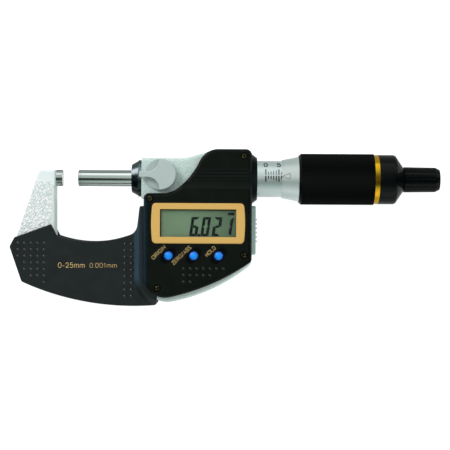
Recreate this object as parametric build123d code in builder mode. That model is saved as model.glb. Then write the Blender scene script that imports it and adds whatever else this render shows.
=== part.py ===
from build123d import *
import math
import os

# A digital outside micrometer for 0 to 25 mm, lying on its back.
# The origin is the centre of the anvil's measuring face. +X runs along the spindle
# towards the ratchet, +Y is the way the display's digits stand up, and +Z is the
# display side. All lengths are millimetres.

# Running and seating clearances, radial or per side
slide_gap = 0.03
turn_gap = 0.10
rub_gap = 0.06
seat_gap = 0.05
panel_gap = 0.15

# Measuring faces and spindle
reading = 6.021
max_reading = 25.5
spindle_d = 6.35
tip_l = 1.5
tip_bevel = 0.15
anvil_out = 2.6
anvil_shank_d = 4.0
anvil_shank_l = 5.9
thread_d = 8.0
thread_l = 40.7
tail_d = 7.2
keyway_w = 1.3
keyway_depth = 0.9
keyway_spare = 0.8
key_d = 1.2

# Leg, bow and covers
frame_t = 9.0
frame_edge_r = 0.9
leg_top_y = 3.0
leg_top_w = 6.3
leg_top_r = 1.4
leg_root_r = 2.0
leg_low = (-18.75, -26.5)
leg_round_r = 2.0
leg_round_top = -3.2
leg_round_low = -20.5
cover_t = 1.7
cover_lip = 1.0
cover_tip = (-4.0, -17.9)
cover_left = -18.0
cover_left_y = -23.0
cover_left_low = (-19.85, -26.6)
bow_low_left = (-15.2, -40.0)
bow_low_right = (36.8, -48.7)
bow_outer_r = 104.0
bow_frame_r = 98.0
bow_frame_out = 0.3
bow_frame_corner_r = 1.2
throat_r = 42.2
throat_left = (-1.85, -22.1)
throat_right = (28.9, -20.8)
throat_corner_r = 4.5
throat_left_r = 1.0
neck_x = 30.15
cover_top_y = -10.8
cover_rise = 2.0
cover_border = 1.8
cover_ramp = 2.0
cover_edge_r = 0.5
cover_tip_r = 0.5
cover_left_r = 1.0
cover_left_low_r = 1.2
bow_low_left_r = 1.6
bow_low_right_r = 1.2
neck_tip_r = 0.8

# Grip bumps moulded on the covers and the display housing
bump_pitch = 2.5
bump_d = 1.15
bump_h = 0.32
bump_top_d = 0.55
bump_sides = 8
left_bumps = (-16.45, -25.2)
left_bump_rows = [(0, 5), (0, 5), (0, 5), (1, 4), (1, 4), (2, 3), (4, 1)]
right_bumps = (24.5, -25.4)
right_bump_rows = [(0, 2)] * 9
housing_bumps = (47.15, -34.5)
housing_bump_rows = [(0, 7), (0, 5), (0, 2)]

# Body block and boss of the frame
boss_left = 30.75
boss_low_y = -7.9
boss_top_y = 7.6
boss_front_z = 7.8
boss_rear_z = -9.0
boss_edge_r = 1.4
ramp_start = 47.4
ramp_end = 56.6
ramp_r = 6.0
block_left = 31.3
block_top_y = 10.3
block_right = 73.0
block_front_z = 2.0
block_rear_z = -10.5
block_arc_r = 67.3
block_low_left_y = -48.85
block_low_right_y = -33.05
block_low_left_r = 9.3
block_low_right_r = 3.0
block_edge_r = 1.2
block_floor = 2.2
pocket_wall = 2.0
boss_flank_y = -5.85
barrel_hole_d = 9.2
chamber_left = 54.6
chamber_right = 64.8
chamber_d = 16.6
chamber_top_wall = 8.5
chamber_roof_end = 60.2
barrel_d = 16.4
pocket_top_y = -9.6

# Display housing
housing_left = 31.8
housing_right = 72.95
housing_top_y = 11.0
housing_step_y = -6.0
housing_front_z = 12.0
housing_upper_drop = 0.8
upper_start_y = -1.4
upper_slope = 2.75
housing_wall = 1.6
housing_roof = 2.4
housing_edge_r = 1.5
housing_low_left_y = -47.0
housing_low_right_y = -31.75
housing_arc_r = 83.5
shoulder_start = 38.7
shoulder_low_r = 10.3
shoulder_low_turn = 41.0
shoulder_mid_r = 30.8
shoulder_mid_turn = 23.5
housing_corner_r = 1.9
housing_top_right_r = 2.4
housing_low_left_r = 8.2
groove_ys = (2.6, 1.3, 0.0)
groove_w = 0.5
groove_depth = 0.25
groove_margin = 0.8

# Housing screws
screw_places = [(34.2, -7.9), (69.9, 8.3), (70.0, -29.3), (37.2, -42.0)]
screw_d = 1.6
screw_l = 11.8
screw_head_d = 2.1
screw_head_h = 0.8
screw_bevel = 0.2
cross_l = 1.4
cross_w = 0.4
cross_depth = 0.35
screw_recess_d = 2.9
screw_recess = 1.1
post_d = 4.6
tube_d = 3.4

# Display
bezel_centre_y = -17.35
window_centre_y = -17.25
bezel_centre_x = 52.55
bezel_w = 34.6
bezel_h = 15.3
bezel_bulge = 0.5
bezel_corner_r = 1.5
bezel_t = 0.8
bezel_bevel = 0.3
bezel_sink = 0.5
window_w = 28.9
window_h = 10.5
window_margin = 0.9
window_t = 0.5
window_ledge = 0.45
lcd_base_h = 3.4
lcd_base_margin = 2.2
board_t = 1.2
board_z = 4.9
board_left = 37.0
board_right = 67.4
board_top_y = -10.2
board_low_y = -37.8
board_rise = 5.6
peg_d = 2.4
peg_places = [(39.5, -35.5), (61.5, -33.0), (39.5, -12.4), (64.6, -12.4)]

# Buttons
button_xs = (41.35, 50.95, 60.4)
button_y = -29.65
button_d = 3.45
button_proud = 0.45
button_dome = 0.8
button_flange_d = 4.8
button_flange_t = 0.8
button_travel = 0.4
button_hole_gap = 0.1
recess_l = 7.1
recess_w = 3.75
recess_turn = 45.0
recess_depth = 1.0
dome_d = 3.0
membrane_t = 0.8
membrane_h = 5.2

# Battery and its lid
battery_x = 52.0
battery_y = -27.0
battery_d = 11.6
battery_t = 5.4
battery_side_gap = 0.25
battery_cup_wall = 1.6
cup_roof_t = 1.2
contact_t = 0.3
battery_edge_r = 0.4
lid_d = 14.4
lid_sink = 0.1
lid_disc_t = 0.9
lid_plug_d = 12.0
lid_plug_l = 1.5
lug_h = 0.6
lug_out = 0.8
lug_span = 30.0
lug_count = 3
lug_lip = 0.65
lug_entry_spare = 4.0
lid_turn = 60.0
coin_slot_l = 11.0
coin_slot_w = 1.6
coin_slot_depth = 0.5
gasket_in = 0.2
gasket_w = 0.8
gasket_depth = 0.3

# Data output socket and its cap
socket_y = -19.95
socket_z = -3.2
socket_w = 7.6
socket_h = 6.0
socket_l = 5.4
socket_wall = 0.8
socket_depth = 3.6
cap_w = 19.0
cap_h = 8.8
cap_t = 1.7
cap_corner_r = 1.4
cap_edge_r = 0.5
rib_count = 6
rib_pitch = 1.69
rib_w = 0.7
rib_h = 0.4
rib_l = 6.0
cap_screw_off = 7.8
cap_screw_d = 1.2
cap_screw_l = 2.8
cap_screw_head_d = 2.2
cap_screw_head_h = 0.7

# Spindle seal, wiper and front bush
seal_l = 4.05
seal_d = 14.2
seal_nose_d = 10.8
seal_cone_l = 2.6
seal_step = 0.25
wiper_l = 1.3
bush_l = 15.0
bush_d = 9.5

# Spindle clamp
clamp_x = 38.2
clamp_y = 1.25
clamp_pad_d = 4.4
clamp_screw_d = 5.0
clamp_screw_in = 2.4
clamp_pad_top = 5.0
clamp_pad_l = 4.0
knob_d = 11.8
knob_base_t = 1.4
knob_t = 4.1
knob_edge_r = 0.5
lever_reach = 8.1
lever_w = 2.5
lever_tip_r = 0.6
scoop_r = 4.55
scoop_x = -5.05
scoop_y = 5.72
scoop_corner_r = 0.5

# Encoder
rotor_bush_d = 9.0
rotor_journal_l = 4.0
rotor_end_space = 0.9
rotor_flange_d = 11.4
rotor_flange_t = 1.0
rotor_d = 14.6
rotor_x = 59.0
disc_t = 1.2
disc_space = 0.3
key_x = 58.2
key_tip_r = 2.4
key_end_space = 0.1
spring_t = 0.5
chamber_r_spring = 6.0

# Sleeves
inner_sleeve_d = 12.0
inner_sleeve_left = 66.5
thread_relief = 0.3
sleeve_d = 14.0
sleeve_right = 107.0
nut_start = 97.0
nut_l = 3.4
nut_ring_d = 13.8
nut_bevel = 0.4
split_w = 0.6
split_l = 9.0
split_count = 3
sleeve_past_nut = 0.3
collar_l = 2.0
collar_d = 19.3
collar_nose_d = 16.4

# Thimble, closed position where a station is a place on the X axis
zero_line_x = 78.55
thimble_lip_d = 14.8
thimble_bore_d = 14.3
thimble_d = 17.3
thimble_cone_l = 6.4
thimble_seat_d = 15.2
thimble_seat_l = 3.3
thimble_wall = 2.6
thimble_end_gap = 0.4
grip_d = 19.7
grip_end_gap = 0.1
grip_past_end = 0.3
grip_chamfer_l = 1.0
grip_chamfer_h = 0.85
flute_count = 96
flute_depth = 0.2
accent_l = 1.8
accent_d = 19.0
cap_d = 19.1
cap_barrel_l = 5.9
cap_cone_l = 3.9
cap_shoulder_l = 0.8
cap_shoulder_h = 0.35
knob_end_d = 9.4
speeder_d = 9.8
speeder_l = 14.0
speeder_step = 0.3
speeder_taper = 0.15
speeder_wall = 4.6
speeder_round = 1.6
speeder_flutes = 20
speeder_flute_r = 0.32
speeder_core_d = 5.2
spigot_out = 0.1
clip_w = 0.6
clip_depth = 0.45
clip_back = 1.6

# Ratchet
wheel_d = 13.2
wheel_t = 1.6
tooth_h = 0.45
tooth_count = 12
tooth_in_d = 8.4
tooth_out_d = 12.6
crest_gap = 0.12
pawl_t = 1.5
pawl_bore_d = 7.0
ratchet_chamber_d = 14.8
pawl_tab_out = 0.8
pawl_tab_w = 2.4
pawl_tab_count = 3
ratchet_screw_d = 3.0
ratchet_screw_l = 7.0
ratchet_head_d = 5.8
ratchet_head_h = 1.5
ratchet_spring_l = 2.0

# Radii and stations that follow from the sizes above
spindle_r = spindle_d / 2
sleeve_r = sleeve_d / 2
cover_front_z = frame_t / 2 + cover_t
upper_front_z = housing_front_z - housing_upper_drop
roof_z = housing_front_z - housing_roof
flange_z = roof_z - turn_gap - button_flange_t
button_dome_z = housing_front_z + button_proud
button_rim_z = button_dome_z - button_dome
dome_sphere_r = (button_d**2 / 4 + button_dome**2) / (2 * button_dome)
button_shoulder_z = button_dome_z - dome_sphere_r + math.sqrt(dome_sphere_r**2 - button_d**2 / 16)
bush_left = boss_left + wiper_l
bush_right = bush_left + bush_l
journal_left = chamber_left - rotor_journal_l
collar_right = block_right + collar_l
cap_screw_places = [(socket_y + cap_screw_off, socket_z), (socket_y - cap_screw_off, socket_z)]
nut_right = sleeve_right + nut_l
inner_sleeve_right = nut_right + sleeve_past_nut
opening_travel = max_reading - reading
thimble_left = zero_line_x + reading
thread_left = inner_sleeve_right + thimble_end_gap + reading - thread_l
wall_left = inner_sleeve_right + thimble_end_gap + reading
spindle_end = wall_left + thimble_wall
grip_left = thimble_left + thimble_cone_l + grip_end_gap
grip_right = spindle_end + grip_past_end
accent_right = grip_right + accent_l
cone_start = accent_right + cap_barrel_l
speeder_left = cone_start + cap_cone_l
speeder_right = speeder_left + speeder_l


def turned(points):
    """A solid turned about the spindle axis from a closed profile of (x, radius) points."""
    with BuildPart() as body:
        with BuildSketch():
            with BuildLine():
                Polyline(*points, close=True)
            make_face()
        revolve(axis=Axis.X)
    return body.part


def corner_at(sketch, place):
    """The corner of a sketch that lies nearest to a place."""
    return sketch.vertices().sort_by_distance(place)[0]


def bump_places(first, rows):
    """Centres of a block of bumps, where each row is (first column, count)."""
    places = []
    for row, (start, count) in enumerate(rows):
        for column in range(start, start + count):
            places.append((first[0] + column * bump_pitch, first[1] - row * bump_pitch))
    return places


def bumps(places, face_z):
    """Small eight-sided domes that stand on a face which looks along +Z."""
    taper = math.degrees(math.atan2((bump_d - bump_top_d) / 2, bump_h))
    with BuildPart() as body:
        with BuildSketch(Plane.XY.offset(face_z)):
            with Locations(*places):
                RegularPolygon(bump_d / 2, bump_sides)
        extrude(amount=bump_h, taper=taper)
    return body.part


def sector(radius, span):
    """A flat sector about the origin that opens to both sides of the +X way."""
    half = math.radians(span / 2)
    edge_x = radius * math.cos(half)
    edge_y = radius * math.sin(half)
    with BuildSketch() as flat:
        with BuildLine():
            Line((0, 0), (edge_x, -edge_y))
            ThreePointArc((edge_x, -edge_y), (radius, 0), (edge_x, edge_y))
            Line((edge_x, edge_y), (0, 0))
        make_face()
    return flat.sketch


def bezel_outline(spare):
    """Outline of the bezel with slightly bowed short sides, grown by a clearance."""
    half_w = bezel_w / 2
    half_h = bezel_h / 2
    with BuildSketch() as flat:
        with BuildLine():
            Line((-half_w, half_h), (half_w, half_h))
            ThreePointArc((half_w, half_h), (half_w + bezel_bulge, 0), (half_w, -half_h))
            Line((half_w, -half_h), (-half_w, -half_h))
            ThreePointArc((-half_w, -half_h), (-half_w - bezel_bulge, 0), (-half_w, half_h))
        make_face()
        fillet(flat.vertices(), bezel_corner_r)
        if spare:
            offset(amount=spare, kind=Kind.ARC)
    return Pos(bezel_centre_x, bezel_centre_y) * flat.sketch


def saw_teeth(face_x, way):
    """Ring of slanting teeth on a face across the spindle axis, pointing along way * X."""
    step = 360 / tooth_count
    slope = math.tan(math.radians(step / 2))
    with BuildPart() as body:
        for index in range(tooth_count):
            angle = math.radians(index * step)
            side = (0, -math.sin(angle), math.cos(angle))
            out = (0, math.cos(angle), math.sin(angle))
            for radius in (tooth_in_d / 2, tooth_out_d / 2):
                half = radius * slope
                start = (face_x, radius * math.cos(angle), radius * math.sin(angle))
                with BuildSketch(Plane(origin=start, x_dir=side, z_dir=out)):
                    with BuildLine():
                        Polyline((-half, 0), (half, 0), (way * half, way * tooth_h), close=True)
                    make_face()
            loft(ruled=True)
    return body.part


def knurl_points():
    """Closed zigzag ring of (y, z) points, one crest and one hollow per flute."""
    points = []
    for index in range(2 * flute_count):
        radius = grip_d / 2 - (flute_depth if index % 2 else 0)
        angle = math.pi * index / flute_count
        points.append((radius * math.cos(angle), radius * math.sin(angle)))
    return points


def screw_seat_z(y):
    """Level of a housing screw's seat, below the face at that place."""
    face_z = upper_front_z if y > upper_start_y else housing_front_z
    return face_z - screw_recess


# Plan of the display housing, with the S-shaped shoulder beside the clamp
shoulder_turn = shoulder_low_turn + shoulder_mid_turn
with BuildSketch() as housing_plan:
    with BuildLine():
        step = Line((housing_left, housing_step_y), (shoulder_start, housing_step_y))
        low = JernArc(step @ 1, (1, 0), shoulder_low_r, shoulder_low_turn)
        middle = JernArc(low @ 1, low % 1, shoulder_mid_r, shoulder_mid_turn)
        crown_rise = housing_top_y - (middle @ 1).Y
        crown_r = crown_rise / (1 - math.cos(math.radians(shoulder_turn)))
        crown = JernArc(middle @ 1, middle % 1, crown_r, -shoulder_turn)
        top = Line(crown @ 1, (housing_right, housing_top_y))
        right = Line(top @ 1, (housing_right, housing_low_right_y))
        RadiusArc(right @ 1, (housing_left, housing_low_left_y), housing_arc_r)
        Line((housing_left, housing_low_left_y), step @ 0)
    make_face()
    fillet(corner_at(housing_plan, (housing_left, housing_step_y)), housing_corner_r)
    fillet(corner_at(housing_plan, (housing_right, housing_top_y)), housing_top_right_r)
    fillet(corner_at(housing_plan, (housing_right, housing_low_right_y)), housing_corner_r)
    fillet(corner_at(housing_plan, (housing_left, housing_low_left_y)), housing_low_left_r)

# Plan of the frame's block behind the housing
with BuildSketch() as block_plan:
    with BuildLine():
        Polyline(
            (block_left, block_low_left_y),
            (block_left, boss_top_y),
            (ramp_start, boss_top_y),
            (ramp_end, block_top_y),
            (block_right, block_top_y),
            (block_right, block_low_right_y),
        )
        RadiusArc(
            (block_right, block_low_right_y), (block_left, block_low_left_y), block_arc_r
        )
    make_face()
    fillet(corner_at(block_plan, (ramp_start, boss_top_y)), ramp_r)
    fillet(corner_at(block_plan, (ramp_end, block_top_y)), ramp_r)
    fillet(corner_at(block_plan, (block_right, block_top_y)), housing_top_right_r)
    fillet(corner_at(block_plan, (block_right, block_low_right_y)), block_low_right_r)
    fillet(corner_at(block_plan, (block_left, block_low_left_y)), block_low_left_r)

# Plan of the boss that carries the spindle, with the roof over the encoder chamber
with BuildSketch() as boss_plan:
    with BuildLine():
        Polyline(
            (boss_left, boss_low_y),
            (chamber_left, boss_low_y),
            (chamber_left, chamber_top_wall),
            (chamber_roof_end, chamber_top_wall),
            (chamber_roof_end, block_top_y),
            (ramp_end, block_top_y),
            (ramp_start, boss_top_y),
            (boss_left, boss_top_y),
            close=True,
        )
    make_face()
    fillet(corner_at(boss_plan, (ramp_start, boss_top_y)), ramp_r)
    fillet(corner_at(boss_plan, (ramp_end, block_top_y)), ramp_r)

# Plan of the black covers on the bow, before the housing is cut out of it
with BuildSketch() as cover_plan:
    with BuildLine():
        Polyline(bow_low_left, cover_left_low, (cover_left, cover_left_y), cover_tip, throat_left)
        RadiusArc(throat_left, throat_right, -throat_r)
        Polyline(
            throat_right,
            (neck_x, cover_top_y),
            (bow_low_right[0], cover_top_y),
            bow_low_right,
        )
        RadiusArc(bow_low_right, bow_low_left, bow_outer_r)
    make_face()
    fillet(corner_at(cover_plan, throat_right), throat_corner_r)
    fillet(corner_at(cover_plan, throat_left), throat_left_r)
    fillet(corner_at(cover_plan, cover_tip), cover_tip_r)
    fillet(corner_at(cover_plan, (cover_left, cover_left_y)), cover_left_r)
    fillet(corner_at(cover_plan, cover_left_low), cover_left_low_r)
    fillet(corner_at(cover_plan, bow_low_left), bow_low_left_r)
    fillet(corner_at(cover_plan, bow_low_right), bow_low_right_r)
    fillet(corner_at(cover_plan, (neck_x, cover_top_y)), neck_tip_r)

# Levels inside the block, from its rear face forward
lid_face_z = block_rear_z + lid_sink
lid_seat_z = lid_face_z + lid_disc_t + turn_gap
lid_end_z = lid_seat_z - turn_gap + lid_plug_l
cell_z = lid_end_z + seat_gap
cell_top_z = cell_z + battery_t
contact_z = cell_top_z + seat_gap
cup_ceiling_z = contact_z + contact_t + turn_gap
pocket_floor_z = block_rear_z + block_floor
cell_r = battery_d / 2 + battery_side_gap
plug_r = lid_plug_d / 2

# Leg and bow of the casting
bow_left = bow_low_left[0] + cover_lip
bow_right = bow_low_right[0] - cover_lip
with BuildPart() as bow_body:
    with BuildSketch(Plane.XY.offset(-frame_t / 2)) as bow_sketch:
        with BuildLine():
            Polyline(
                (bow_left, bow_low_left[1] + cover_lip),
                leg_low,
                (-anvil_out - leg_top_w, leg_top_y),
                (-anvil_out, leg_top_y),
                (-anvil_out, throat_left[1] - cover_lip),
            )
            RadiusArc(
                (-anvil_out, throat_left[1] - cover_lip),
                (throat_right[0] + cover_lip, throat_right[1] - cover_lip),
                -throat_r - cover_lip,
            )
            Polyline(
                (throat_right[0] + cover_lip, throat_right[1] - cover_lip),
                (neck_x + cover_lip, cover_top_y - cover_lip),
                (bow_right, cover_top_y - cover_lip),
                (bow_right, bow_low_right[1] - bow_frame_out),
            )
            RadiusArc(
                (bow_right, bow_low_right[1] - bow_frame_out),
                (bow_left, bow_low_left[1] + cover_lip),
                bow_frame_r,
            )
        make_face()
        fillet(corner_at(bow_sketch, (-anvil_out - leg_top_w, leg_top_y)), leg_top_r)
        fillet(corner_at(bow_sketch, (-anvil_out, throat_left[1])), leg_root_r)
        fillet(corner_at(bow_sketch, throat_right), throat_corner_r + cover_lip)
        fillet(corner_at(bow_sketch, bow_low_right), bow_frame_corner_r)
        fillet(corner_at(bow_sketch, leg_low), leg_root_r)
        fillet(corner_at(bow_sketch, bow_low_left), leg_root_r)
    extrude(amount=frame_t)
    rims = bow_body.edges().filter_by(lambda edge: abs(edge.center().Z) > frame_t / 2 - rub_gap)
    fillet(rims, frame_edge_r)
    # The leg's inner edges are rounder below the anvil
    with BuildSketch(Plane.XZ.offset(-leg_round_top)):
        with Locations((-anvil_out - leg_round_r, 0)):
            Rectangle(2 * leg_round_r, 2 * frame_t, align=(Align.MIN, Align.CENTER))
        with Locations((-anvil_out, 0)):
            RectangleRounded(2 * frame_t, frame_t, leg_round_r,
                             align=(Align.MAX, Align.CENTER), mode=Mode.SUBTRACT)
    extrude(amount=leg_round_top - leg_round_low, mode=Mode.SUBTRACT)

# Block behind the housing
with BuildPart() as block_body:
    with BuildSketch(Plane.XY.offset(block_rear_z)):
        add(block_plan.sketch)
    extrude(amount=block_front_z - block_rear_z)
    fillet(block_body.edges().group_by(Axis.Z)[0], block_edge_r)
    front_rim = block_body.edges().group_by(Axis.Z)[-1]
    fillet(front_rim.sort_by(SortBy.LENGTH)[-1], block_edge_r)

# Boss that carries the spindle
with BuildPart() as boss_body:
    with BuildSketch(Plane.XY.offset(boss_rear_z)):
        add(boss_plan.sketch)
    extrude(amount=boss_front_z - boss_rear_z)
    boss_rim = boss_body.edges().group_by(Axis.Z)[-1]
    boss_rim = boss_rim.filter_by(lambda edge: edge.center().Y > boss_top_y - rub_gap)
    boss_rim = boss_rim.filter_by(lambda edge: edge.center().X < chamber_roof_end - rub_gap)
    boss_rim = boss_rim.filter_by(
        lambda edge: abs(edge.center().Y - chamber_top_wall) > rub_gap
    )
    fillet(boss_rim, boss_edge_r)

# Frame: leg, bow, block, boss and barrel in one casting
with BuildPart() as frame:
    add(bow_body.part)
    add(boss_body.part)
    with BuildSketch(Plane.XY.offset(block_front_z)):
        add(housing_plan.sketch)
        offset(amount=panel_gap, kind=Kind.ARC)
        with Locations((bow_right, boss_flank_y)):
            Rectangle(2 * block_right, 4 * frame_t, align=(Align.CENTER, Align.MIN),
                      mode=Mode.SUBTRACT)
    extrude(amount=frame_t, mode=Mode.SUBTRACT)
    add(block_body.part)
    with BuildSketch(Plane.YZ.offset(chamber_right)):
        Circle(barrel_d / 2)
    extrude(amount=block_right - chamber_right)
    # Pocket for the electronics, with the cup for the cell
    with BuildSketch(Plane.XY.offset(pocket_floor_z)):
        add(housing_plan.sketch)
        offset(amount=-pocket_wall, kind=Kind.ARC)
        with Locations((bow_right, pocket_top_y)):
            Rectangle(2 * block_right, 4 * frame_t, align=(Align.CENTER, Align.MIN),
                      mode=Mode.SUBTRACT)
    extrude(amount=boss_front_z - pocket_floor_z, mode=Mode.SUBTRACT)
    with BuildSketch(Plane.XY.offset(pocket_floor_z - rub_gap)):
        with Locations((battery_x, battery_y)):
            Circle(cell_r + battery_cup_wall)
    extrude(amount=cup_ceiling_z + cup_roof_t - pocket_floor_z + rub_gap)
    with BuildSketch(Plane.XY.offset(pocket_floor_z - rub_gap)):
        with Locations(*[place for place in screw_places if place[1] < pocket_top_y]):
            Circle(post_d / 2)
    extrude(amount=block_front_z - pocket_floor_z + rub_gap)
    with BuildSketch(Plane.XY.offset(pocket_floor_z - rub_gap)):
        with Locations(*peg_places):
            Circle(peg_d / 2)
    extrude(amount=board_z - pocket_floor_z + rub_gap)
    # Room for the cell and its lid, with the lip that the lid's lugs turn behind
    with BuildSketch(Plane.XY.offset(block_rear_z)):
        with Locations((battery_x, battery_y)):
            Circle(lid_d / 2 + turn_gap)
    extrude(amount=lid_seat_z - block_rear_z, mode=Mode.SUBTRACT)
    with BuildSketch(Plane.XY.offset(lid_seat_z)):
        with Locations((battery_x, battery_y)):
            Circle(plug_r + turn_gap)
    extrude(amount=cell_z - lid_seat_z, mode=Mode.SUBTRACT)
    with BuildSketch(Plane.XY.offset(lid_seat_z + lug_lip)):
        with Locations((battery_x, battery_y)):
            Circle(plug_r + lug_out + turn_gap)
    extrude(amount=lug_h + 2 * turn_gap, mode=Mode.SUBTRACT)
    with BuildSketch(Plane.XY.offset(cell_z)):
        with Locations((battery_x, battery_y)):
            Circle(cell_r)
    extrude(amount=cup_ceiling_z - cell_z, mode=Mode.SUBTRACT)
    with BuildSketch(Plane.XY.offset(lid_seat_z)):
        with Locations((battery_x, battery_y)):
            with PolarLocations(0, lug_count, start_angle=lid_turn):
                add(sector(plug_r + lug_out + turn_gap, lug_span + lug_entry_spare))
    extrude(amount=lug_lip, mode=Mode.SUBTRACT)
    # Opening for the data socket
    with Locations((block_right, socket_y, socket_z)):
        Box(
            2 * (socket_l + turn_gap),
            socket_w + 2 * turn_gap,
            socket_h + 2 * turn_gap,
            mode=Mode.SUBTRACT,
        )
    with BuildSketch(Plane.YZ.offset(block_right)):
        with Locations(*cap_screw_places):
            Circle(cap_screw_d / 2)
    extrude(amount=-cap_screw_l, mode=Mode.SUBTRACT)
    # Bores along the spindle, from the anvil to the sleeve
    with BuildSketch(Plane.YZ.offset(-anvil_out - anvil_shank_l)):
        Circle(anvil_shank_d / 2)
    extrude(amount=anvil_shank_l, mode=Mode.SUBTRACT)
    bores = turned(
        [
            (boss_left, 0),
            (boss_left, bush_d / 2),
            (bush_right, bush_d / 2),
            (bush_right, spindle_r + turn_gap),
            (journal_left, spindle_r + turn_gap),
            (journal_left, rotor_bush_d / 2 + slide_gap),
            (chamber_left, rotor_bush_d / 2 + slide_gap),
            (chamber_left, chamber_d / 2),
            (chamber_right, chamber_d / 2),
            (chamber_right, barrel_hole_d / 2),
            (inner_sleeve_left, barrel_hole_d / 2),
            (inner_sleeve_left, inner_sleeve_d / 2),
            (block_right, inner_sleeve_d / 2),
            (block_right, 0),
        ]
    )
    add(bores, mode=Mode.SUBTRACT)
    # Holes for the clamp and for the housing's screws
    with BuildSketch(Plane.XY.offset(boss_front_z)):
        with Locations((clamp_x, clamp_y)):
            Circle(clamp_screw_d / 2 + rub_gap)
    extrude(amount=clamp_pad_top - boss_front_z, mode=Mode.SUBTRACT)
    with BuildSketch(Plane.XY.offset(clamp_pad_top)):
        with Locations((clamp_x, clamp_y)):
            Circle(clamp_pad_d / 2 + seat_gap)
    extrude(amount=-clamp_pad_l, mode=Mode.SUBTRACT)
    for x, y in screw_places:
        with BuildSketch(Plane.XY.offset(screw_seat_z(y))):
            with Locations((x, y)):
                Circle(screw_d / 2)
        extrude(amount=-screw_l, mode=Mode.SUBTRACT)
frame.part.label = "frame"

# Anvil and its carbide tip
with BuildPart() as anvil:
    add(
        turned(
            [
                (-anvil_out - anvil_shank_l, 0),
                (-anvil_out - anvil_shank_l, anvil_shank_d / 2),
                (-anvil_out, anvil_shank_d / 2),
                (-anvil_out, spindle_r),
                (-tip_l, spindle_r),
                (-tip_l, 0),
            ]
        )
    )
anvil.part.label = "anvil"

with BuildPart() as anvil_tip:
    add(
        turned(
            [
                (-tip_l, 0),
                (-tip_l, spindle_r),
                (-tip_bevel, spindle_r),
                (0, spindle_r - tip_bevel),
                (0, 0),
            ]
        )
    )
anvil_tip.part.label = "anvil_tip"

# Front cover of the bow, raised beside the housing
with BuildPart() as cover_plate:
    with BuildSketch(Plane.XY.offset(frame_t / 2)):
        add(cover_plan.sketch)
    extrude(amount=cover_t)
    fillet(cover_plate.edges().group_by(Axis.Z)[-1], cover_edge_r)

with BuildPart() as front_insulating_cover:
    with BuildSketch(Plane.XY.offset(cover_front_z)):
        add(housing_plan.sketch)
        offset(amount=cover_border + cover_ramp, kind=Kind.ARC)
    extrude(
        amount=cover_rise, taper=math.degrees(math.atan2(cover_ramp, cover_rise))
    )
    with BuildSketch(Plane.XY.offset(cover_front_z)):
        add(cover_plan.sketch)
    extrude(amount=cover_rise, mode=Mode.INTERSECT)
    add(cover_plate.part)
    with BuildSketch(Plane.XY.offset(frame_t / 2)):
        add(housing_plan.sketch)
        offset(amount=panel_gap, kind=Kind.ARC)
    extrude(amount=cover_t + cover_rise, mode=Mode.SUBTRACT)
    add(bumps(bump_places(left_bumps, left_bump_rows), cover_front_z))
    add(bumps(bump_places(right_bumps, right_bump_rows), cover_front_z))
front_insulating_cover.part.label = "front_insulating_cover"

# Rear cover of the bow, which stops at the block
with BuildPart() as rear_insulating_cover:
    with BuildSketch(Plane.XY.offset(-frame_t / 2)):
        add(cover_plan.sketch)
    extrude(amount=-cover_t)
    fillet(rear_insulating_cover.edges().group_by(Axis.Z)[0], cover_edge_r)
    with BuildSketch(Plane.XY.offset(-frame_t / 2)):
        add(block_plan.sketch)
        offset(amount=panel_gap, kind=Kind.ARC)
    extrude(amount=-cover_t, mode=Mode.SUBTRACT)
rear_insulating_cover.part.label = "rear_insulating_cover"

# Seal, wiper and bush at the spindle's way out of the boss
with BuildPart() as spindle_seal:
    add(
        turned(
            [
                (boss_left - seal_l, spindle_r + rub_gap),
                (boss_left - seal_l, seal_nose_d / 2),
                (boss_left - seal_l + seal_cone_l, seal_d / 2 - seal_step),
                (boss_left - seal_l + seal_cone_l, seal_d / 2),
                (boss_left, seal_d / 2),
                (boss_left, spindle_r + rub_gap),
            ]
        )
    )
spindle_seal.part.label = "spindle_seal"

with BuildPart() as spindle_wiper:
    add(
        turned(
            [
                (boss_left, spindle_r + slide_gap),
                (boss_left, bush_d / 2),
                (bush_left, bush_d / 2),
                (bush_left, spindle_r + slide_gap),
            ]
        )
    )
spindle_wiper.part.label = "spindle_wiper"

with BuildPart() as spindle_bush:
    add(
        turned(
            [
                (bush_left, spindle_r + slide_gap),
                (bush_left, bush_d / 2),
                (bush_right, bush_d / 2),
                (bush_right, spindle_r + slide_gap),
            ]
        )
    )
    with BuildSketch(Plane.XY.offset(clamp_pad_top)):
        with Locations((clamp_x, clamp_y)):
            Circle(clamp_pad_d / 2 + seat_gap)
    extrude(amount=-clamp_pad_l, mode=Mode.SUBTRACT)
spindle_bush.part.label = "spindle_bush"

# Clamp: the pad on the spindle, the screw over it and the knob with its lever
with BuildPart() as clamp_pad:
    with BuildSketch(Plane.XY.offset(clamp_pad_top)):
        with Locations((clamp_x, clamp_y)):
            Circle(clamp_pad_d / 2)
    extrude(amount=seat_gap - clamp_pad_l)
    with BuildSketch(Plane.YZ.offset(clamp_x - clamp_pad_d)):
        Circle(spindle_r + slide_gap)
    extrude(amount=2 * clamp_pad_d, mode=Mode.SUBTRACT)
clamp_pad.part.label = "clamp_pad"

knob_base_z = boss_front_z + panel_gap
with BuildPart() as clamp_screw:
    with BuildSketch(Plane.XY.offset(clamp_pad_top + seat_gap)):
        with Locations((clamp_x, clamp_y)):
            Circle(clamp_screw_d / 2)
    extrude(amount=knob_base_z + clamp_screw_in - clamp_pad_top - seat_gap)
clamp_screw.part.label = "clamp_screw"

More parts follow.
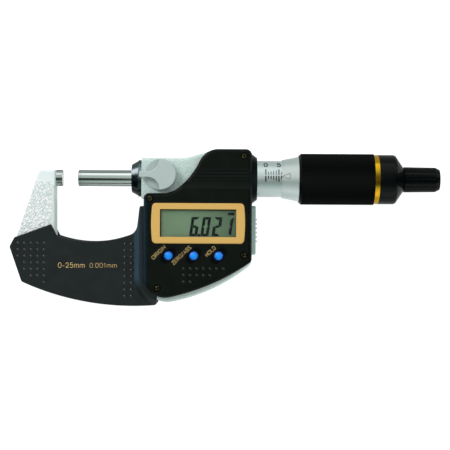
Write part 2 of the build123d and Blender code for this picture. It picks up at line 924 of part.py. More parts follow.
with BuildPart() as clamp_knob:
    with BuildSketch(Plane.XY.offset(knob_base_z)):
        with Locations((clamp_x, clamp_y)):
            Circle(knob_d / 2)
    extrude(amount=knob_base_t)
    with BuildSketch(Plane.XY.offset(knob_base_z + knob_base_t)) as knob_handle:
        with Locations((clamp_x, clamp_y)):
            Circle(knob_d / 2)
            RectangleRounded(lever_reach, lever_w, lever_tip_r, align=(Align.MAX, Align.CENTER))
        with Locations(
            (clamp_x + scoop_x, clamp_y + scoop_y),
            (clamp_x + scoop_x, clamp_y - scoop_y),
        ):
            Circle(scoop_r, mode=Mode.SUBTRACT)
        fillet(knob_handle.vertices().group_by(Axis.X)[-1], scoop_corner_r)
    extrude(amount=knob_t - knob_base_t)
    fillet(clamp_knob.edges().group_by(Axis.Z)[-1], knob_edge_r)
    with BuildSketch(Plane.XY.offset(knob_base_z)):
        with Locations((clamp_x, clamp_y)):
            Circle(clamp_screw_d / 2)
    extrude(amount=clamp_screw_in, mode=Mode.SUBTRACT)
clamp_knob.part.label = "clamp_knob"

# Display housing: a moulded shell over the front of the block
pane_w = window_w + 2 * window_margin
pane_h = window_h + 2 * window_margin
glass_w = pane_w - 2 * window_ledge
glass_h = pane_h - 2 * window_ledge
bezel_floor_z = housing_front_z - bezel_sink
pane_z = bezel_floor_z - window_t - turn_gap
window_at = (bezel_centre_x, window_centre_y)
button_places = [(x, button_y) for x in button_xs]
with BuildPart() as housing_lower:
    with BuildSketch(Plane.XY.offset(block_front_z)):
        add(housing_plan.sketch)
    extrude(amount=housing_front_z - block_front_z)
    fillet(housing_lower.edges().group_by(Axis.Z)[-1], housing_edge_r)
    with BuildSketch(Plane.YZ):
        with BuildLine():
            TangentArc(
                (upper_start_y, upper_front_z),
                (upper_start_y - upper_slope, housing_front_z),
                tangent=(-1, 0),
            )
            Polyline(
                (upper_start_y - upper_slope, housing_front_z),
                (2 * housing_top_y, housing_front_z),
                (2 * housing_top_y, block_front_z),
                (upper_start_y, block_front_z),
                (upper_start_y, upper_front_z),
            )
        make_face()
    extrude(amount=2 * housing_right, mode=Mode.SUBTRACT)

# The upper part lies a little lower, behind a short hollow slope
with BuildPart() as display_housing:
    with BuildSketch(Plane.XY.offset(block_front_z)):
        add(housing_plan.sketch)
    extrude(amount=upper_front_z - block_front_z)
    fillet(display_housing.edges().group_by(Axis.Z)[-1], housing_edge_r)
    add(housing_lower.part)
    # Cavity, with tubes down to the block for the screws
    with BuildSketch(Plane.XY.offset(block_front_z)):
        add(housing_plan.sketch)
        offset(amount=-housing_wall, kind=Kind.ARC)
        with Locations(*screw_places):
            Circle(tube_d / 2, mode=Mode.SUBTRACT)
    extrude(amount=roof_z - block_front_z, mode=Mode.SUBTRACT)
    with BuildSketch(Plane.XY.offset(block_front_z)):
        with Locations(*screw_places):
            Circle(tube_d)
    extrude(amount=seat_gap, mode=Mode.SUBTRACT)
    # Room for the boss and for the barrel
    with BuildSketch(Plane.XY.offset(block_front_z)):
        with BuildLine():
            Polyline(
                (boss_left, boss_flank_y - turn_gap),
                (chamber_roof_end + panel_gap, boss_flank_y - turn_gap),
                (chamber_roof_end + panel_gap, 2 * housing_top_y),
                (boss_left, 2 * housing_top_y),
                close=True,
            )
        make_face()
    extrude(amount=boss_front_z + turn_gap - block_front_z, mode=Mode.SUBTRACT)
    with BuildSketch(Plane.YZ.offset(chamber_right - panel_gap)):
        Circle(barrel_d / 2 + panel_gap)
    extrude(amount=block_right - chamber_right + 2 * panel_gap, mode=Mode.SUBTRACT)
    # Seats and holes of the screws
    for x, y in screw_places:
        with BuildSketch(Plane.XY.offset(screw_seat_z(y))):
            with Locations((x, y)):
                Circle(screw_recess_d / 2)
        extrude(amount=2 * screw_recess, mode=Mode.SUBTRACT)
        with BuildSketch(Plane.XY.offset(block_front_z)):
            with Locations((x, y)):
                Circle(screw_d / 2 + seat_gap)
        extrude(amount=housing_front_z - block_front_z, mode=Mode.SUBTRACT)
    # Seats of the bezel, the pane and the display
    with BuildSketch(Plane.XY.offset(bezel_floor_z)):
        add(bezel_outline(seat_gap))
    extrude(amount=2 * bezel_sink, mode=Mode.SUBTRACT)
    with BuildSketch(Plane.XY.offset(pane_z)):
        with Locations(window_at):
            Rectangle(pane_w + 2 * seat_gap, pane_h + 2 * seat_gap)
    extrude(amount=bezel_floor_z - pane_z, mode=Mode.SUBTRACT)
    with BuildSketch(Plane.XY.offset(roof_z)):
        with Locations(window_at):
            Rectangle(glass_w + 2 * seat_gap, glass_h + 2 * seat_gap)
    extrude(amount=pane_z - roof_z, mode=Mode.SUBTRACT)
    # Button holes in slanting round-ended hollows
    with BuildSketch(Plane.XY.offset(housing_front_z - recess_depth)):
        with Locations(*button_places):
            SlotOverall(recess_l, recess_w, rotation=recess_turn)
    extrude(amount=2 * recess_depth, mode=Mode.SUBTRACT)
    with BuildSketch(Plane.XY.offset(roof_z)):
        with Locations(*button_places):
            Circle(button_d / 2 + button_hole_gap)
    extrude(amount=housing_front_z - roof_z, mode=Mode.SUBTRACT)
    # Shallow grooves above the display
    with BuildSketch(Plane.XY.offset(upper_front_z - groove_depth)):
        add(housing_plan.sketch)
        offset(amount=-groove_margin, kind=Kind.ARC)
        with Locations(*[(bezel_centre_x, y) for y in groove_ys]):
            Rectangle(2 * housing_right, groove_w, mode=Mode.INTERSECT)
    extrude(amount=2 * groove_depth, mode=Mode.SUBTRACT)
    add(bumps(bump_places(housing_bumps, housing_bump_rows), housing_front_z))
display_housing.part.label = "display_housing"

with BuildPart() as display_bezel:
    with BuildSketch(Plane.XY.offset(bezel_floor_z)):
        add(bezel_outline(0))
    extrude(amount=bezel_t)
    chamfer(display_bezel.edges().group_by(Axis.Z)[-1], bezel_bevel)
    with BuildSketch(Plane.XY.offset(bezel_floor_z)):
        with Locations(window_at):
            Rectangle(window_w, window_h)
    extrude(amount=bezel_t, mode=Mode.SUBTRACT)
display_bezel.part.label = "display_bezel"

with BuildPart() as display_window:
    with BuildSketch(Plane.XY.offset(pane_z)):
        with Locations(window_at):
            Rectangle(pane_w, pane_h)
    extrude(amount=window_t)
display_window.part.label = "display_window"

with BuildPart() as lcd_module:
    with BuildSketch(Plane.XY.offset(board_z + board_t)):
        with Locations(window_at):
            Rectangle(glass_w + lcd_base_margin, glass_h + lcd_base_margin)
    extrude(amount=lcd_base_h)
    with BuildSketch(Plane.XY.offset(board_z + board_t + lcd_base_h)):
        with Locations(window_at):
            Rectangle(glass_w, glass_h)
    extrude(amount=pane_z - turn_gap - board_z - board_t - lcd_base_h)
lcd_module.part.label = "lcd_module"

with BuildPart() as circuit_board:
    with BuildSketch(Plane.XY.offset(board_z)):
        with BuildLine():
            Polyline(
                (board_left, board_low_y),
                (board_right, board_low_y + board_rise),
                (board_right, board_top_y),
                (board_left, board_top_y),
                close=True,
            )
        make_face()
    extrude(amount=board_t)
circuit_board.part.label = "circuit_board"

with BuildPart() as button_membrane:
    with BuildSketch(Plane.XY.offset(board_z + board_t)):
        with Locations((button_xs[1], button_y)):
            Rectangle(button_xs[2] - button_xs[0] + membrane_h, membrane_h)
    extrude(amount=membrane_t)
    with BuildSketch(Plane.XY.offset(board_z + board_t + membrane_t)):
        with Locations(*button_places):
            Circle(dome_d / 2)
    extrude(amount=flange_z - button_travel - seat_gap - board_z - board_t - membrane_t)
button_membrane.part.label = "button_membrane"

# Buttons: three caps of one shape with a flange under the housing's face
button_parts = []
for x, name in zip(button_xs, ("origin_button", "zero_button", "hold_button")):
    with BuildPart() as button:
        with BuildSketch(Plane.XZ.offset(-button_y)):
            with BuildLine():
                Polyline(
                    (x, button_dome_z),
                    (x, flange_z),
                    (x + button_flange_d / 2, flange_z),
                    (x + button_flange_d / 2, flange_z + button_flange_t),
                    (x + button_d / 2, flange_z + button_flange_t),
                    (x + button_d / 2, button_rim_z),
                )
                ThreePointArc(
                    (x + button_d / 2, button_rim_z),
                    (x + button_d / 4, button_shoulder_z),
                    (x, button_dome_z),
                )
            make_face()
        revolve(axis=Axis((x, button_y, 0), (0, 0, 1)))
    button.part.label = name
    button_parts.append(button)

# Housing screws: four of one shape, kept together
with BuildPart() as housing_screws:
    for x, y in screw_places:
        with BuildSketch(Plane.XY.offset(screw_seat_z(y))):
            with Locations((x, y)):
                Circle(screw_head_d / 2)
        extrude(amount=screw_head_h)
        chamfer(housing_screws.edges(Select.LAST).group_by(Axis.Z)[-1], screw_bevel)
        with BuildSketch(Plane.XY.offset(screw_seat_z(y) + screw_head_h - cross_depth)):
            with Locations((x, y)):
                Rectangle(cross_l, cross_w)
                Rectangle(cross_w, cross_l)
        extrude(amount=cross_depth, mode=Mode.SUBTRACT)
        with BuildSketch(Plane.XY.offset(screw_seat_z(y))):
            with Locations((x, y)):
                Circle(screw_d / 2)
        extrude(amount=-screw_l)
housing_screws.part.label = "housing_screws"

# Cell, its spring contact, and the lid that turns out of the block's rear face
with BuildPart() as battery:
    with BuildSketch(Plane.XY.offset(cell_z)):
        with Locations((battery_x, battery_y)):
            Circle(battery_d / 2)
    extrude(amount=battery_t)
    fillet(battery.edges(), battery_edge_r)
battery.part.label = "battery"

with BuildPart() as battery_contact:
    with BuildSketch(Plane.XY.offset(cell_top_z)):
        with Locations((battery_x, battery_y)):
            Circle(dome_d)
    extrude(amount=cup_ceiling_z - cell_top_z)
    with BuildSketch(Plane.XY.offset(cell_top_z + contact_t)):
        with Locations((battery_x, battery_y)):
            Circle(dome_d)
            Circle(dome_d / 2, mode=Mode.SUBTRACT)
    extrude(amount=cup_ceiling_z - cell_top_z, mode=Mode.SUBTRACT)
battery_contact.part.label = "battery_contact"

with BuildPart() as battery_lid:
    with BuildSketch(Plane.XY.offset(lid_face_z)):
        with Locations((battery_x, battery_y)):
            Circle(lid_d / 2)
    extrude(amount=lid_disc_t)
    with BuildSketch(Plane.XY.offset(lid_face_z)):
        with Locations((battery_x, battery_y)):
            SlotOverall(coin_slot_l, coin_slot_w)
    extrude(amount=coin_slot_depth, mode=Mode.SUBTRACT)
    with BuildSketch(Plane.XY.offset(lid_face_z + lid_disc_t)):
        with Locations((battery_x, battery_y)):
            Circle(plug_r)
    extrude(amount=lid_plug_l)
    with BuildSketch(Plane.XY.offset(lid_seat_z + lug_lip + turn_gap)):
        with Locations((battery_x, battery_y)):
            with PolarLocations(0, lug_count):
                add(sector(plug_r + lug_out, lug_span))
    extrude(amount=lug_h)
    with BuildSketch(Plane.XY.offset(lid_face_z + lid_disc_t)):
        with Locations((battery_x, battery_y)):
            Circle(plug_r + gasket_in + gasket_w)
            Circle(plug_r + gasket_in, mode=Mode.SUBTRACT)
    extrude(amount=-gasket_depth, mode=Mode.SUBTRACT)
battery_lid.part.label = "battery_lid"

with BuildPart() as battery_lid_gasket:
    with BuildSketch(Plane.XY.offset(lid_face_z + lid_disc_t - gasket_depth)):
        with Locations((battery_x, battery_y)):
            Circle(plug_r + gasket_in + gasket_w)
            Circle(plug_r + gasket_in, mode=Mode.SUBTRACT)
    extrude(amount=gasket_depth + turn_gap - slide_gap)
battery_lid_gasket.part.label = "battery_lid_gasket"

# Data socket in the block's right side, and the ribbed cap over it
with BuildPart() as output_connector:
    with BuildSketch(Plane.YZ.offset(block_right)):
        with Locations((socket_y, socket_z)):
            Rectangle(socket_w, socket_h)
    extrude(amount=-socket_l)
    with BuildSketch(Plane.YZ.offset(block_right)):
        with Locations((socket_y, socket_z)):
            Rectangle(socket_w - 2 * socket_wall, socket_h - 2 * socket_wall)
    extrude(amount=-socket_depth, mode=Mode.SUBTRACT)
output_connector.part.label = "output_connector"

with BuildPart() as connector_cap:
    with BuildSketch(Plane.YZ.offset(block_right)):
        with Locations((socket_y, socket_z)):
            RectangleRounded(cap_w, cap_h, cap_corner_r)
    extrude(amount=cap_t)
    fillet(connector_cap.edges().group_by(Axis.X)[-1], cap_edge_r)
    with BuildSketch(Plane.YZ.offset(block_right + cap_t)):
        with Locations((socket_y, socket_z)):
            with GridLocations(rib_pitch, 0, rib_count, 1):
                Rectangle(rib_w, rib_l)
    extrude(amount=rib_h)
    with BuildSketch(Plane.YZ.offset(block_right)):
        with Locations(*cap_screw_places):
            Circle(cap_screw_d / 2)
    extrude(amount=cap_t, mode=Mode.SUBTRACT)
    with BuildSketch(Plane.YZ.offset(block_right + cap_t)):
        with Locations(*cap_screw_places):
            Circle(cap_screw_head_d / 2 + seat_gap)
    extrude(amount=-cap_screw_head_h, mode=Mode.SUBTRACT)
connector_cap.part.label = "connector_cap"

with BuildPart() as connector_cap_screws:
    with BuildSketch(Plane.YZ.offset(block_right - cap_screw_l)):
        with Locations(*cap_screw_places):
            Circle(cap_screw_d / 2)
    extrude(amount=cap_screw_l + cap_t - cap_screw_head_h)
    with BuildSketch(Plane.YZ.offset(block_right + cap_t - cap_screw_head_h)):
        with Locations(*cap_screw_places):
            Circle(cap_screw_head_d / 2)
    extrude(amount=cap_screw_head_h - seat_gap)
    with BuildSketch(Plane.YZ.offset(block_right + cap_t - seat_gap)):
        with Locations(*cap_screw_places):
            Rectangle(cross_l, cross_w)
            Rectangle(cross_w, cross_l)
    extrude(amount=-cross_depth, mode=Mode.SUBTRACT)
connector_cap_screws.part.label = "connector_cap_screws"

# Encoder: a rotor on its own bush, keyed to the spindle, and a fixed ring
rotor_left = journal_left + turn_gap
rotor_end = chamber_right - rotor_end_space
with BuildPart() as rotor_bush:
    add(
        turned(
            [
                (rotor_left, spindle_r + slide_gap),
                (rotor_left, rotor_bush_d / 2),
                (chamber_left + turn_gap, rotor_bush_d / 2),
                (chamber_left + turn_gap, rotor_flange_d / 2),
                (chamber_left + turn_gap + rotor_flange_t, rotor_flange_d / 2),
                (chamber_left + turn_gap + rotor_flange_t, rotor_bush_d / 2),
                (rotor_end, rotor_bush_d / 2),
                (rotor_end, spindle_r + slide_gap),
            ]
        )
    )
    with BuildSketch(Plane.XY):
        with Locations((key_x, 0)):
            Circle(key_d / 2)
    extrude(amount=-rotor_bush_d, mode=Mode.SUBTRACT)
rotor_bush.part.label = "rotor_bush"

with BuildPart() as encoder_rotor:
    add(
        turned(
            [
                (rotor_x, rotor_bush_d / 2),
                (rotor_x, rotor_d / 2),
                (rotor_x + disc_t, rotor_d / 2),
                (rotor_x + disc_t, rotor_bush_d / 2),
            ]
        )
    )
encoder_rotor.part.label = "encoder_rotor"

with BuildPart() as rotor_key:
    with BuildSketch(Plane.XY.offset(-key_tip_r)):
        with Locations((key_x, 0)):
            Circle(key_d / 2)
    extrude(amount=key_tip_r + key_end_space - rotor_bush_d / 2)
rotor_key.part.label = "rotor_key"

with BuildPart() as encoder_stator:
    add(
        turned(
            [
                (rotor_x + disc_t + disc_space, rotor_flange_d / 2),
                (rotor_x + disc_t + disc_space, chamber_d / 2),
                (rotor_x + 2 * disc_t + disc_space, chamber_d / 2),
                (rotor_x + 2 * disc_t + disc_space, rotor_flange_d / 2),
            ]
        )
    )
encoder_stator.part.label = "encoder_stator"

with BuildPart() as rotor_spring:
    add(
        turned(
            [
                (rotor_end + seat_gap, spindle_r + seat_gap + spring_t),
                (rotor_end + seat_gap, spindle_r + 2 * spring_t),
                (chamber_right, chamber_r_spring),
                (chamber_right, chamber_r_spring - spring_t),
            ]
        )
    )
rotor_spring.part.label = "rotor_spring"

# Inner sleeve with the spindle's nut thread, and the nut that closes its split end
with BuildPart() as inner_sleeve:
    add(
        turned(
            [
                (inner_sleeve_left, thread_d / 2 + thread_relief),
                (inner_sleeve_left, inner_sleeve_d / 2),
                (inner_sleeve_right, inner_sleeve_d / 2),
                (inner_sleeve_right, thread_d / 2 + rub_gap),
                (nut_start, thread_d / 2 + rub_gap),
                (nut_start, thread_d / 2 + thread_relief),
            ]
        )
    )
    with BuildSketch(Plane.YZ.offset(inner_sleeve_right)):
        with PolarLocations(inner_sleeve_d / 2, split_count):
            Rectangle(inner_sleeve_d / 2, split_w)
    extrude(amount=-split_l, mode=Mode.SUBTRACT)
inner_sleeve.part.label = "inner_sleeve"

with BuildPart() as adjusting_nut:
    add(
        turned(
            [
                (sleeve_right, inner_sleeve_d / 2),
                (sleeve_right, nut_ring_d / 2),
                (nut_right - nut_bevel, nut_ring_d / 2),
                (nut_right, nut_ring_d / 2 - nut_bevel),
                (nut_right, inner_sleeve_d / 2),
            ]
        )
    )
adjusting_nut.part.label = "adjusting_nut"

# Outer sleeve with the main scale, and the cone where it meets the frame
with BuildPart() as outer_sleeve:
    add(
        turned(
            [
                (block_right, inner_sleeve_d / 2),
                (block_right, sleeve_r),
                (sleeve_right, sleeve_r),
                (sleeve_right, inner_sleeve_d / 2),
            ]
        )
    )
outer_sleeve.part.label = "outer_sleeve"

with BuildPart() as sleeve_collar:
    add(
        turned(
            [
                (block_right, sleeve_r),
                (block_right, collar_d / 2),
                (collar_right, collar_nose_d / 2),
                (collar_right, sleeve_r),
            ]
        )
    )
sleeve_collar.part.label = "sleeve_collar"

# Spindle: measuring end, keyway, thread and the seat of the thimble and ratchet
with BuildPart() as spindle:
    add(
        turned(
            [
                (reading + tip_l, 0),
                (reading + tip_l, spindle_r),
                (thread_left, spindle_r),
                (thread_left + nut_bevel, thread_d / 2),
                (wall_left, thread_d / 2),
                (wall_left, tail_d / 2),
                (spindle_end, tail_d / 2),
                (spindle_end, ratchet_screw_d / 2),
                (spindle_end - ratchet_screw_l, ratchet_screw_d / 2),
                (spindle_end - ratchet_screw_l, 0),
            ]
        )
    )
    keyway_left = key_x - opening_travel - keyway_spare
    keyway_right = key_x + reading + keyway_spare
    with BuildSketch(Plane.XY.offset(keyway_depth - spindle_r)):
        with Locations(((keyway_left + keyway_right) / 2, 0)):
            SlotOverall(keyway_right - keyway_left, keyway_w)
    extrude(amount=-keyway_depth, mode=Mode.SUBTRACT)
spindle.part.label = "spindle"

with BuildPart() as spindle_tip:
    add(
        turned(
            [
                (reading, 0),
                (reading, spindle_r - tip_bevel),
                (reading + tip_bevel, spindle_r),
                (reading + tip_l, spindle_r),
                (reading + tip_l, 0),
            ]
        )
    )
spindle_tip.part.label = "spindle_tip"

# Thimble: the silver shell on the spindle's end
clip_x = spindle_end - clip_back
with BuildPart() as thimble_core:
    add(
        turned(
            [
                (thimble_left, thimble_bore_d / 2),
                (thimble_left, thimble_lip_d / 2),
                (thimble_left + thimble_cone_l, thimble_d / 2),
                (spindle_end - thimble_seat_l, thimble_d / 2),
                (spindle_end - thimble_seat_l, thimble_seat_d / 2),
                (clip_x - clip_w / 2 - seat_gap, thimble_seat_d / 2),
                (clip_x - clip_w / 2 - seat_gap, thimble_seat_d / 2 - clip_depth),
                (clip_x + clip_w / 2 + seat_gap, thimble_seat_d / 2 - clip_depth),
                (clip_x + clip_w / 2 + seat_gap, thimble_seat_d / 2),
                (spindle_end, thimble_seat_d / 2),
                (spindle_end, tail_d / 2),
                (wall_left, tail_d / 2),
                (wall_left, thimble_bore_d / 2),
            ]
        )
    )
thimble_core.part.label = "thimble_core"

with BuildPart() as sleeve_retaining_ring:
    add(
        turned(
            [
                (clip_x - clip_w / 2, thimble_seat_d / 2 - clip_depth),
                (clip_x - clip_w / 2, thimble_seat_d / 2 + clip_depth - seat_gap),
                (clip_x + clip_w / 2, thimble_seat_d / 2 + clip_depth - seat_gap),
                (clip_x + clip_w / 2, thimble_seat_d / 2 - clip_depth),
            ]
        )
    )
sleeve_retaining_ring.part.label = "sleeve_retaining_ring"

# Ratchet: a toothed wheel held on the spindle's end by a screw
with BuildPart() as ratchet_wheel:
    add(
        turned(
            [
                (spindle_end, ratchet_screw_d / 2),
                (spindle_end, wheel_d / 2),
                (spindle_end + wheel_t, wheel_d / 2),
                (spindle_end + wheel_t, ratchet_screw_d / 2),
            ]
        )
    )
    add(saw_teeth(spindle_end + wheel_t, 1))
ratchet_wheel.part.label = "ratchet_wheel"

with BuildPart() as ratchet_screw:
    add(
        turned(
            [
                (spindle_end - ratchet_screw_l, 0),
                (spindle_end - ratchet_screw_l, ratchet_screw_d / 2),
                (spindle_end + wheel_t, ratchet_screw_d / 2),
                (spindle_end + wheel_t, ratchet_head_d / 2),
                (spindle_end + wheel_t + ratchet_head_h, ratchet_head_d / 2),
                (spindle_end + wheel_t + ratchet_head_h, 0),
            ]
        )
    )
ratchet_screw.part.label = "ratchet_screw"

pawl_left = spindle_end + wheel_t + tooth_h + crest_gap
pawl_right = pawl_left + tooth_h + pawl_t
with BuildPart() as pawl_disc:
    add(
        turned(
            [
                (pawl_left + tooth_h, pawl_bore_d / 2),
                (pawl_left + tooth_h, ratchet_chamber_d / 2 - turn_gap),
                (pawl_right, ratchet_chamber_d / 2 - turn_gap),
                (pawl_right, pawl_bore_d / 2),
            ]
        )
    )
    with BuildSketch(Plane.YZ.offset(pawl_left + tooth_h)):
        with PolarLocations(ratchet_chamber_d / 2, pawl_tab_count):
            Rectangle(2 * pawl_tab_out, pawl_tab_w)
    extrude(amount=pawl_t)
    add(saw_teeth(pawl_left + tooth_h, -1))
pawl_disc.part.label = "pawl_disc"

# Spring washer that presses the pawl disc on the wheel
with BuildPart() as ratchet_spring:
    add(
        turned(
            [
                (pawl_right, ratchet_chamber_d / 2 - 2 * spring_t),
                (pawl_right, ratchet_chamber_d / 2 - spring_t),
                (pawl_right + ratchet_spring_l, pawl_bore_d / 2 + spring_t),
                (pawl_right + ratchet_spring_l, pawl_bore_d / 2),
            ]
        )
    )
ratchet_spring.part.label = "ratchet_spring"

# End cap: spigot in the grip, ratchet chamber, cone and fluted knob
spigot_d = thimble_d + 2 * spigot_out
with BuildPart() as end_cap:
    add(
        turned(
            [
                (spindle_end - thimble_seat_l + turn_gap, thimble_seat_d / 2 + turn_gap),
                (spindle_end - thimble_seat_l + turn_gap, spigot_d / 2),
                (accent_right, spigot_d / 2),
                (accent_right, cap_d / 2),
                (cone_start, cap_d / 2),
                (cone_start + cap_shoulder_l, cap_d / 2 - cap_shoulder_h),
                (speeder_left, knob_end_d / 2),
                (speeder_left + speeder_step, speeder_d / 2),
                (speeder_right - speeder_round, speeder_d / 2 - speeder_taper),
                (speeder_right, speeder_d / 2 - speeder_round / 2 - speeder_taper),
                (speeder_right, 0),
                (speeder_right - speeder_wall, 0),
                (speeder_right - speeder_wall, speeder_core_d / 2),
                (pawl_right + ratchet_spring_l, speeder_core_d / 2),
                (pawl_right + ratchet_spring_l, ratchet_chamber_d / 2),
                (spindle_end + turn_gap, ratchet_chamber_d / 2),
                (spindle_end + turn_gap, thimble_seat_d / 2 + turn_gap),
                (clip_x + clip_w / 2 + turn_gap, thimble_seat_d / 2 + turn_gap),
                (clip_x + clip_w / 2 + turn_gap, thimble_seat_d / 2 + clip_depth + turn_gap),
                (clip_x - clip_w / 2 - turn_gap, thimble_seat_d / 2 + clip_depth + turn_gap),
                (clip_x - clip_w / 2 - turn_gap, thimble_seat_d / 2 + turn_gap),
            ]
        )
    )
    with BuildSketch(Plane.YZ.offset(pawl_right + ratchet_spring_l)):
        with PolarLocations(ratchet_chamber_d / 2, pawl_tab_count):
            Rectangle(2 * (pawl_tab_out + turn_gap), pawl_tab_w + 2 * seat_gap)
    extrude(amount=pawl_left - turn_gap - pawl_right - ratchet_spring_l, mode=Mode.SUBTRACT)
    with BuildSketch(Plane.YZ.offset(speeder_left + speeder_step)):
        with PolarLocations(speeder_d / 2, speeder_flutes):
            Circle(speeder_flute_r)
    extrude(amount=speeder_l - speeder_step - speeder_round, mode=Mode.SUBTRACT)
end_cap.part.label = "end_cap"

with BuildPart() as accent_ring:
    add(
        turned(
            [
                (grip_right, spigot_d / 2),
                (grip_right, accent_d / 2),
                (accent_right, accent_d / 2),
                (accent_right, spigot_d / 2),
            ]
        )
    )
accent_ring.part.label = "accent_ring"

# Grip sleeve with fine lengthwise knurling
with BuildPart() as grip_sleeve:
    add(
        turned(
            [
                (grip_left, spigot_d / 2),
                (grip_left, grip_d / 2 + rub_gap - grip_chamfer_h),
                (grip_left + grip_chamfer_l, grip_d / 2 + rub_gap),
                (grip_right, grip_d / 2 + rub_gap),
                (grip_right, spigot_d / 2),
            ]
        )
    )
    with BuildSketch(Plane.YZ.offset(grip_left)):
        with BuildLine():
            Polyline(*knurl_points(), close=True)
        make_face()
    extrude(amount=grip_right - grip_left, mode=Mode.INTERSECT)
grip_sleeve.part.label = "grip_sleeve"

os.makedirs("parts", exist_ok=True)
for piece in [
    frame,
    anvil,
    anvil_tip,
    front_insulating_cover,
    rear_insulating_cover,
    spindle_seal,
    spindle_wiper,
    spindle_bush,
    clamp_pad,
    clamp_screw,
    clamp_knob,
    display_housing,
    display_bezel,
    display_window,
    lcd_module,
    circuit_board,
    button_membrane,
    *button_parts,
    housing_screws,
    battery,
    battery_contact,
    battery_lid,
    battery_lid_gasket,
    output_connector,
    connector_cap,
    connector_cap_screws,
    rotor_bush,
    encoder_rotor,
    rotor_key,
    encoder_stator,
    rotor_spring,
    inner_sleeve,
    adjusting_nut,
    outer_sleeve,
    sleeve_collar,
    spindle,
    spindle_tip,
    thimble_core,
    sleeve_retaining_ring,
    ratchet_wheel,
    ratchet_screw,
    pawl_disc,
    ratchet_spring,
    end_cap,
    accent_ring,
    grip_sleeve,
]:
    export_step(piece.part, f"parts/{piece.part.label}.step")
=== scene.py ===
import math

import bmesh
import bpy
from mathutils import Matrix, Vector


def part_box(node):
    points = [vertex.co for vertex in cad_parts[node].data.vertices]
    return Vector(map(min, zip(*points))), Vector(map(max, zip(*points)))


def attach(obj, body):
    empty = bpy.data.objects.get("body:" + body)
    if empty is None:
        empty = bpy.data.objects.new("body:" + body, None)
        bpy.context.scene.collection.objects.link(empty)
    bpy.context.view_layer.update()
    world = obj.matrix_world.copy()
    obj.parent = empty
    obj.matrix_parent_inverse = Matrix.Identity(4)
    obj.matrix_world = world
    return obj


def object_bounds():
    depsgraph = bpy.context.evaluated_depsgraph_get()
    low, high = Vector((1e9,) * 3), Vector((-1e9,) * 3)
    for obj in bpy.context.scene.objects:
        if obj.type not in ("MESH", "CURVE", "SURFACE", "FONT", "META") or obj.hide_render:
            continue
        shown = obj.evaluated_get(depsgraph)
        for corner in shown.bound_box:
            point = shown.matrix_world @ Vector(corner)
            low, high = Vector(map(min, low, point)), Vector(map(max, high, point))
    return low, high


# A digital outside micrometer that lies on its back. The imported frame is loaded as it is,
# its nodes get their materials, and print, digits and bump crowns are built on top.
# Lengths are metres. +X runs along the spindle, +Y up the display, +Z towards the viewer.

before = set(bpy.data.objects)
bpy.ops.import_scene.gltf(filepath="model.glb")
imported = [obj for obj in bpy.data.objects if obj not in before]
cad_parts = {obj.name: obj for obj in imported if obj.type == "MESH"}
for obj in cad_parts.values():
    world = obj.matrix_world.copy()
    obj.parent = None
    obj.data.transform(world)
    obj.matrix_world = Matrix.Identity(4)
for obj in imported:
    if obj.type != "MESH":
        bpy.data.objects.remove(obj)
cad_low, cad_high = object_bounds()
mm = 0.001

# Camera: straight above, rolled a little
camera_at = (62.75 * mm, -17.9 * mm, 504 * mm)
camera_roll = math.radians(0.31)
camera_lens = 104
camera_sensor = 36

# Studio
floor_size = 6.0
floor_drop = 0.02 * mm
floor_color = 0.36
floor_glow = 0.85
floor_bounce = 0.85
# Brightness of the floor in reflections: pairs of X in mm and level, above the spindle axis and
# below it, then the levels beneath it and far out, with the ways out in Y between which they change
floor_ends = (-50 * mm, 200 * mm)
axis_limits = (-1 * mm, 1 * mm)
floor_above = [
    (-50, 0.36), (44, 0.28), (52, 0.45), (58, 0.66), (80, 0.66), (86, 0.72), (92, 0.72),
    (104, 0.44), (114, 0.40), (200, 0.40),
]
floor_below = [
    (-50, 0.20), (4, 0.20), (8, 0.42), (44, 0.42), (52, 0.60), (58, 0.80), (80, 0.80),
    (86, 0.95), (92, 0.95), (104, 0.66), (114, 0.53), (200, 0.53),
]
floor_beneath = 0.95
beneath_limits = (6.5 * mm, 9.5 * mm)
floor_far_above = 0.75
floor_far_below = 0.93
far_limits = (60 * mm, 100 * mm)
far_right_end = (98 * mm, 108 * mm)
floor_tint = (0.88, 1.0, 0.97)
key_at = (-0.34, 0.38, 0.52)
key_size = 0.22
key_power = 2.55
fill_at = (0.50, -0.36, 0.26)
fill_size = 0.60
fill_power = 1.3
white = (1, 1, 1, 1)
# Share of the sky's light that falls on paint, beside what reflections show
paint_light = 0.83
# The sky near the ends of the X axis: how far along it, its level on paint and in reflections
end_limits = (0.92, 0.985)
end_level = 0.74
end_shine = (2.8, 3.5, 3.9, 1)
# Small bright panels that only reflections show: direction, and degrees to full and no light
softboxes = [
    ((-0.70, 0.60, 0.38), 2, 19),
    ((-0.63, 0.77, 0.10), 2, 19),
]
softbox_shine = (6.6, 5.3, 5.4, 1)
shade_tint = (0.66, 1.0, 0.87)
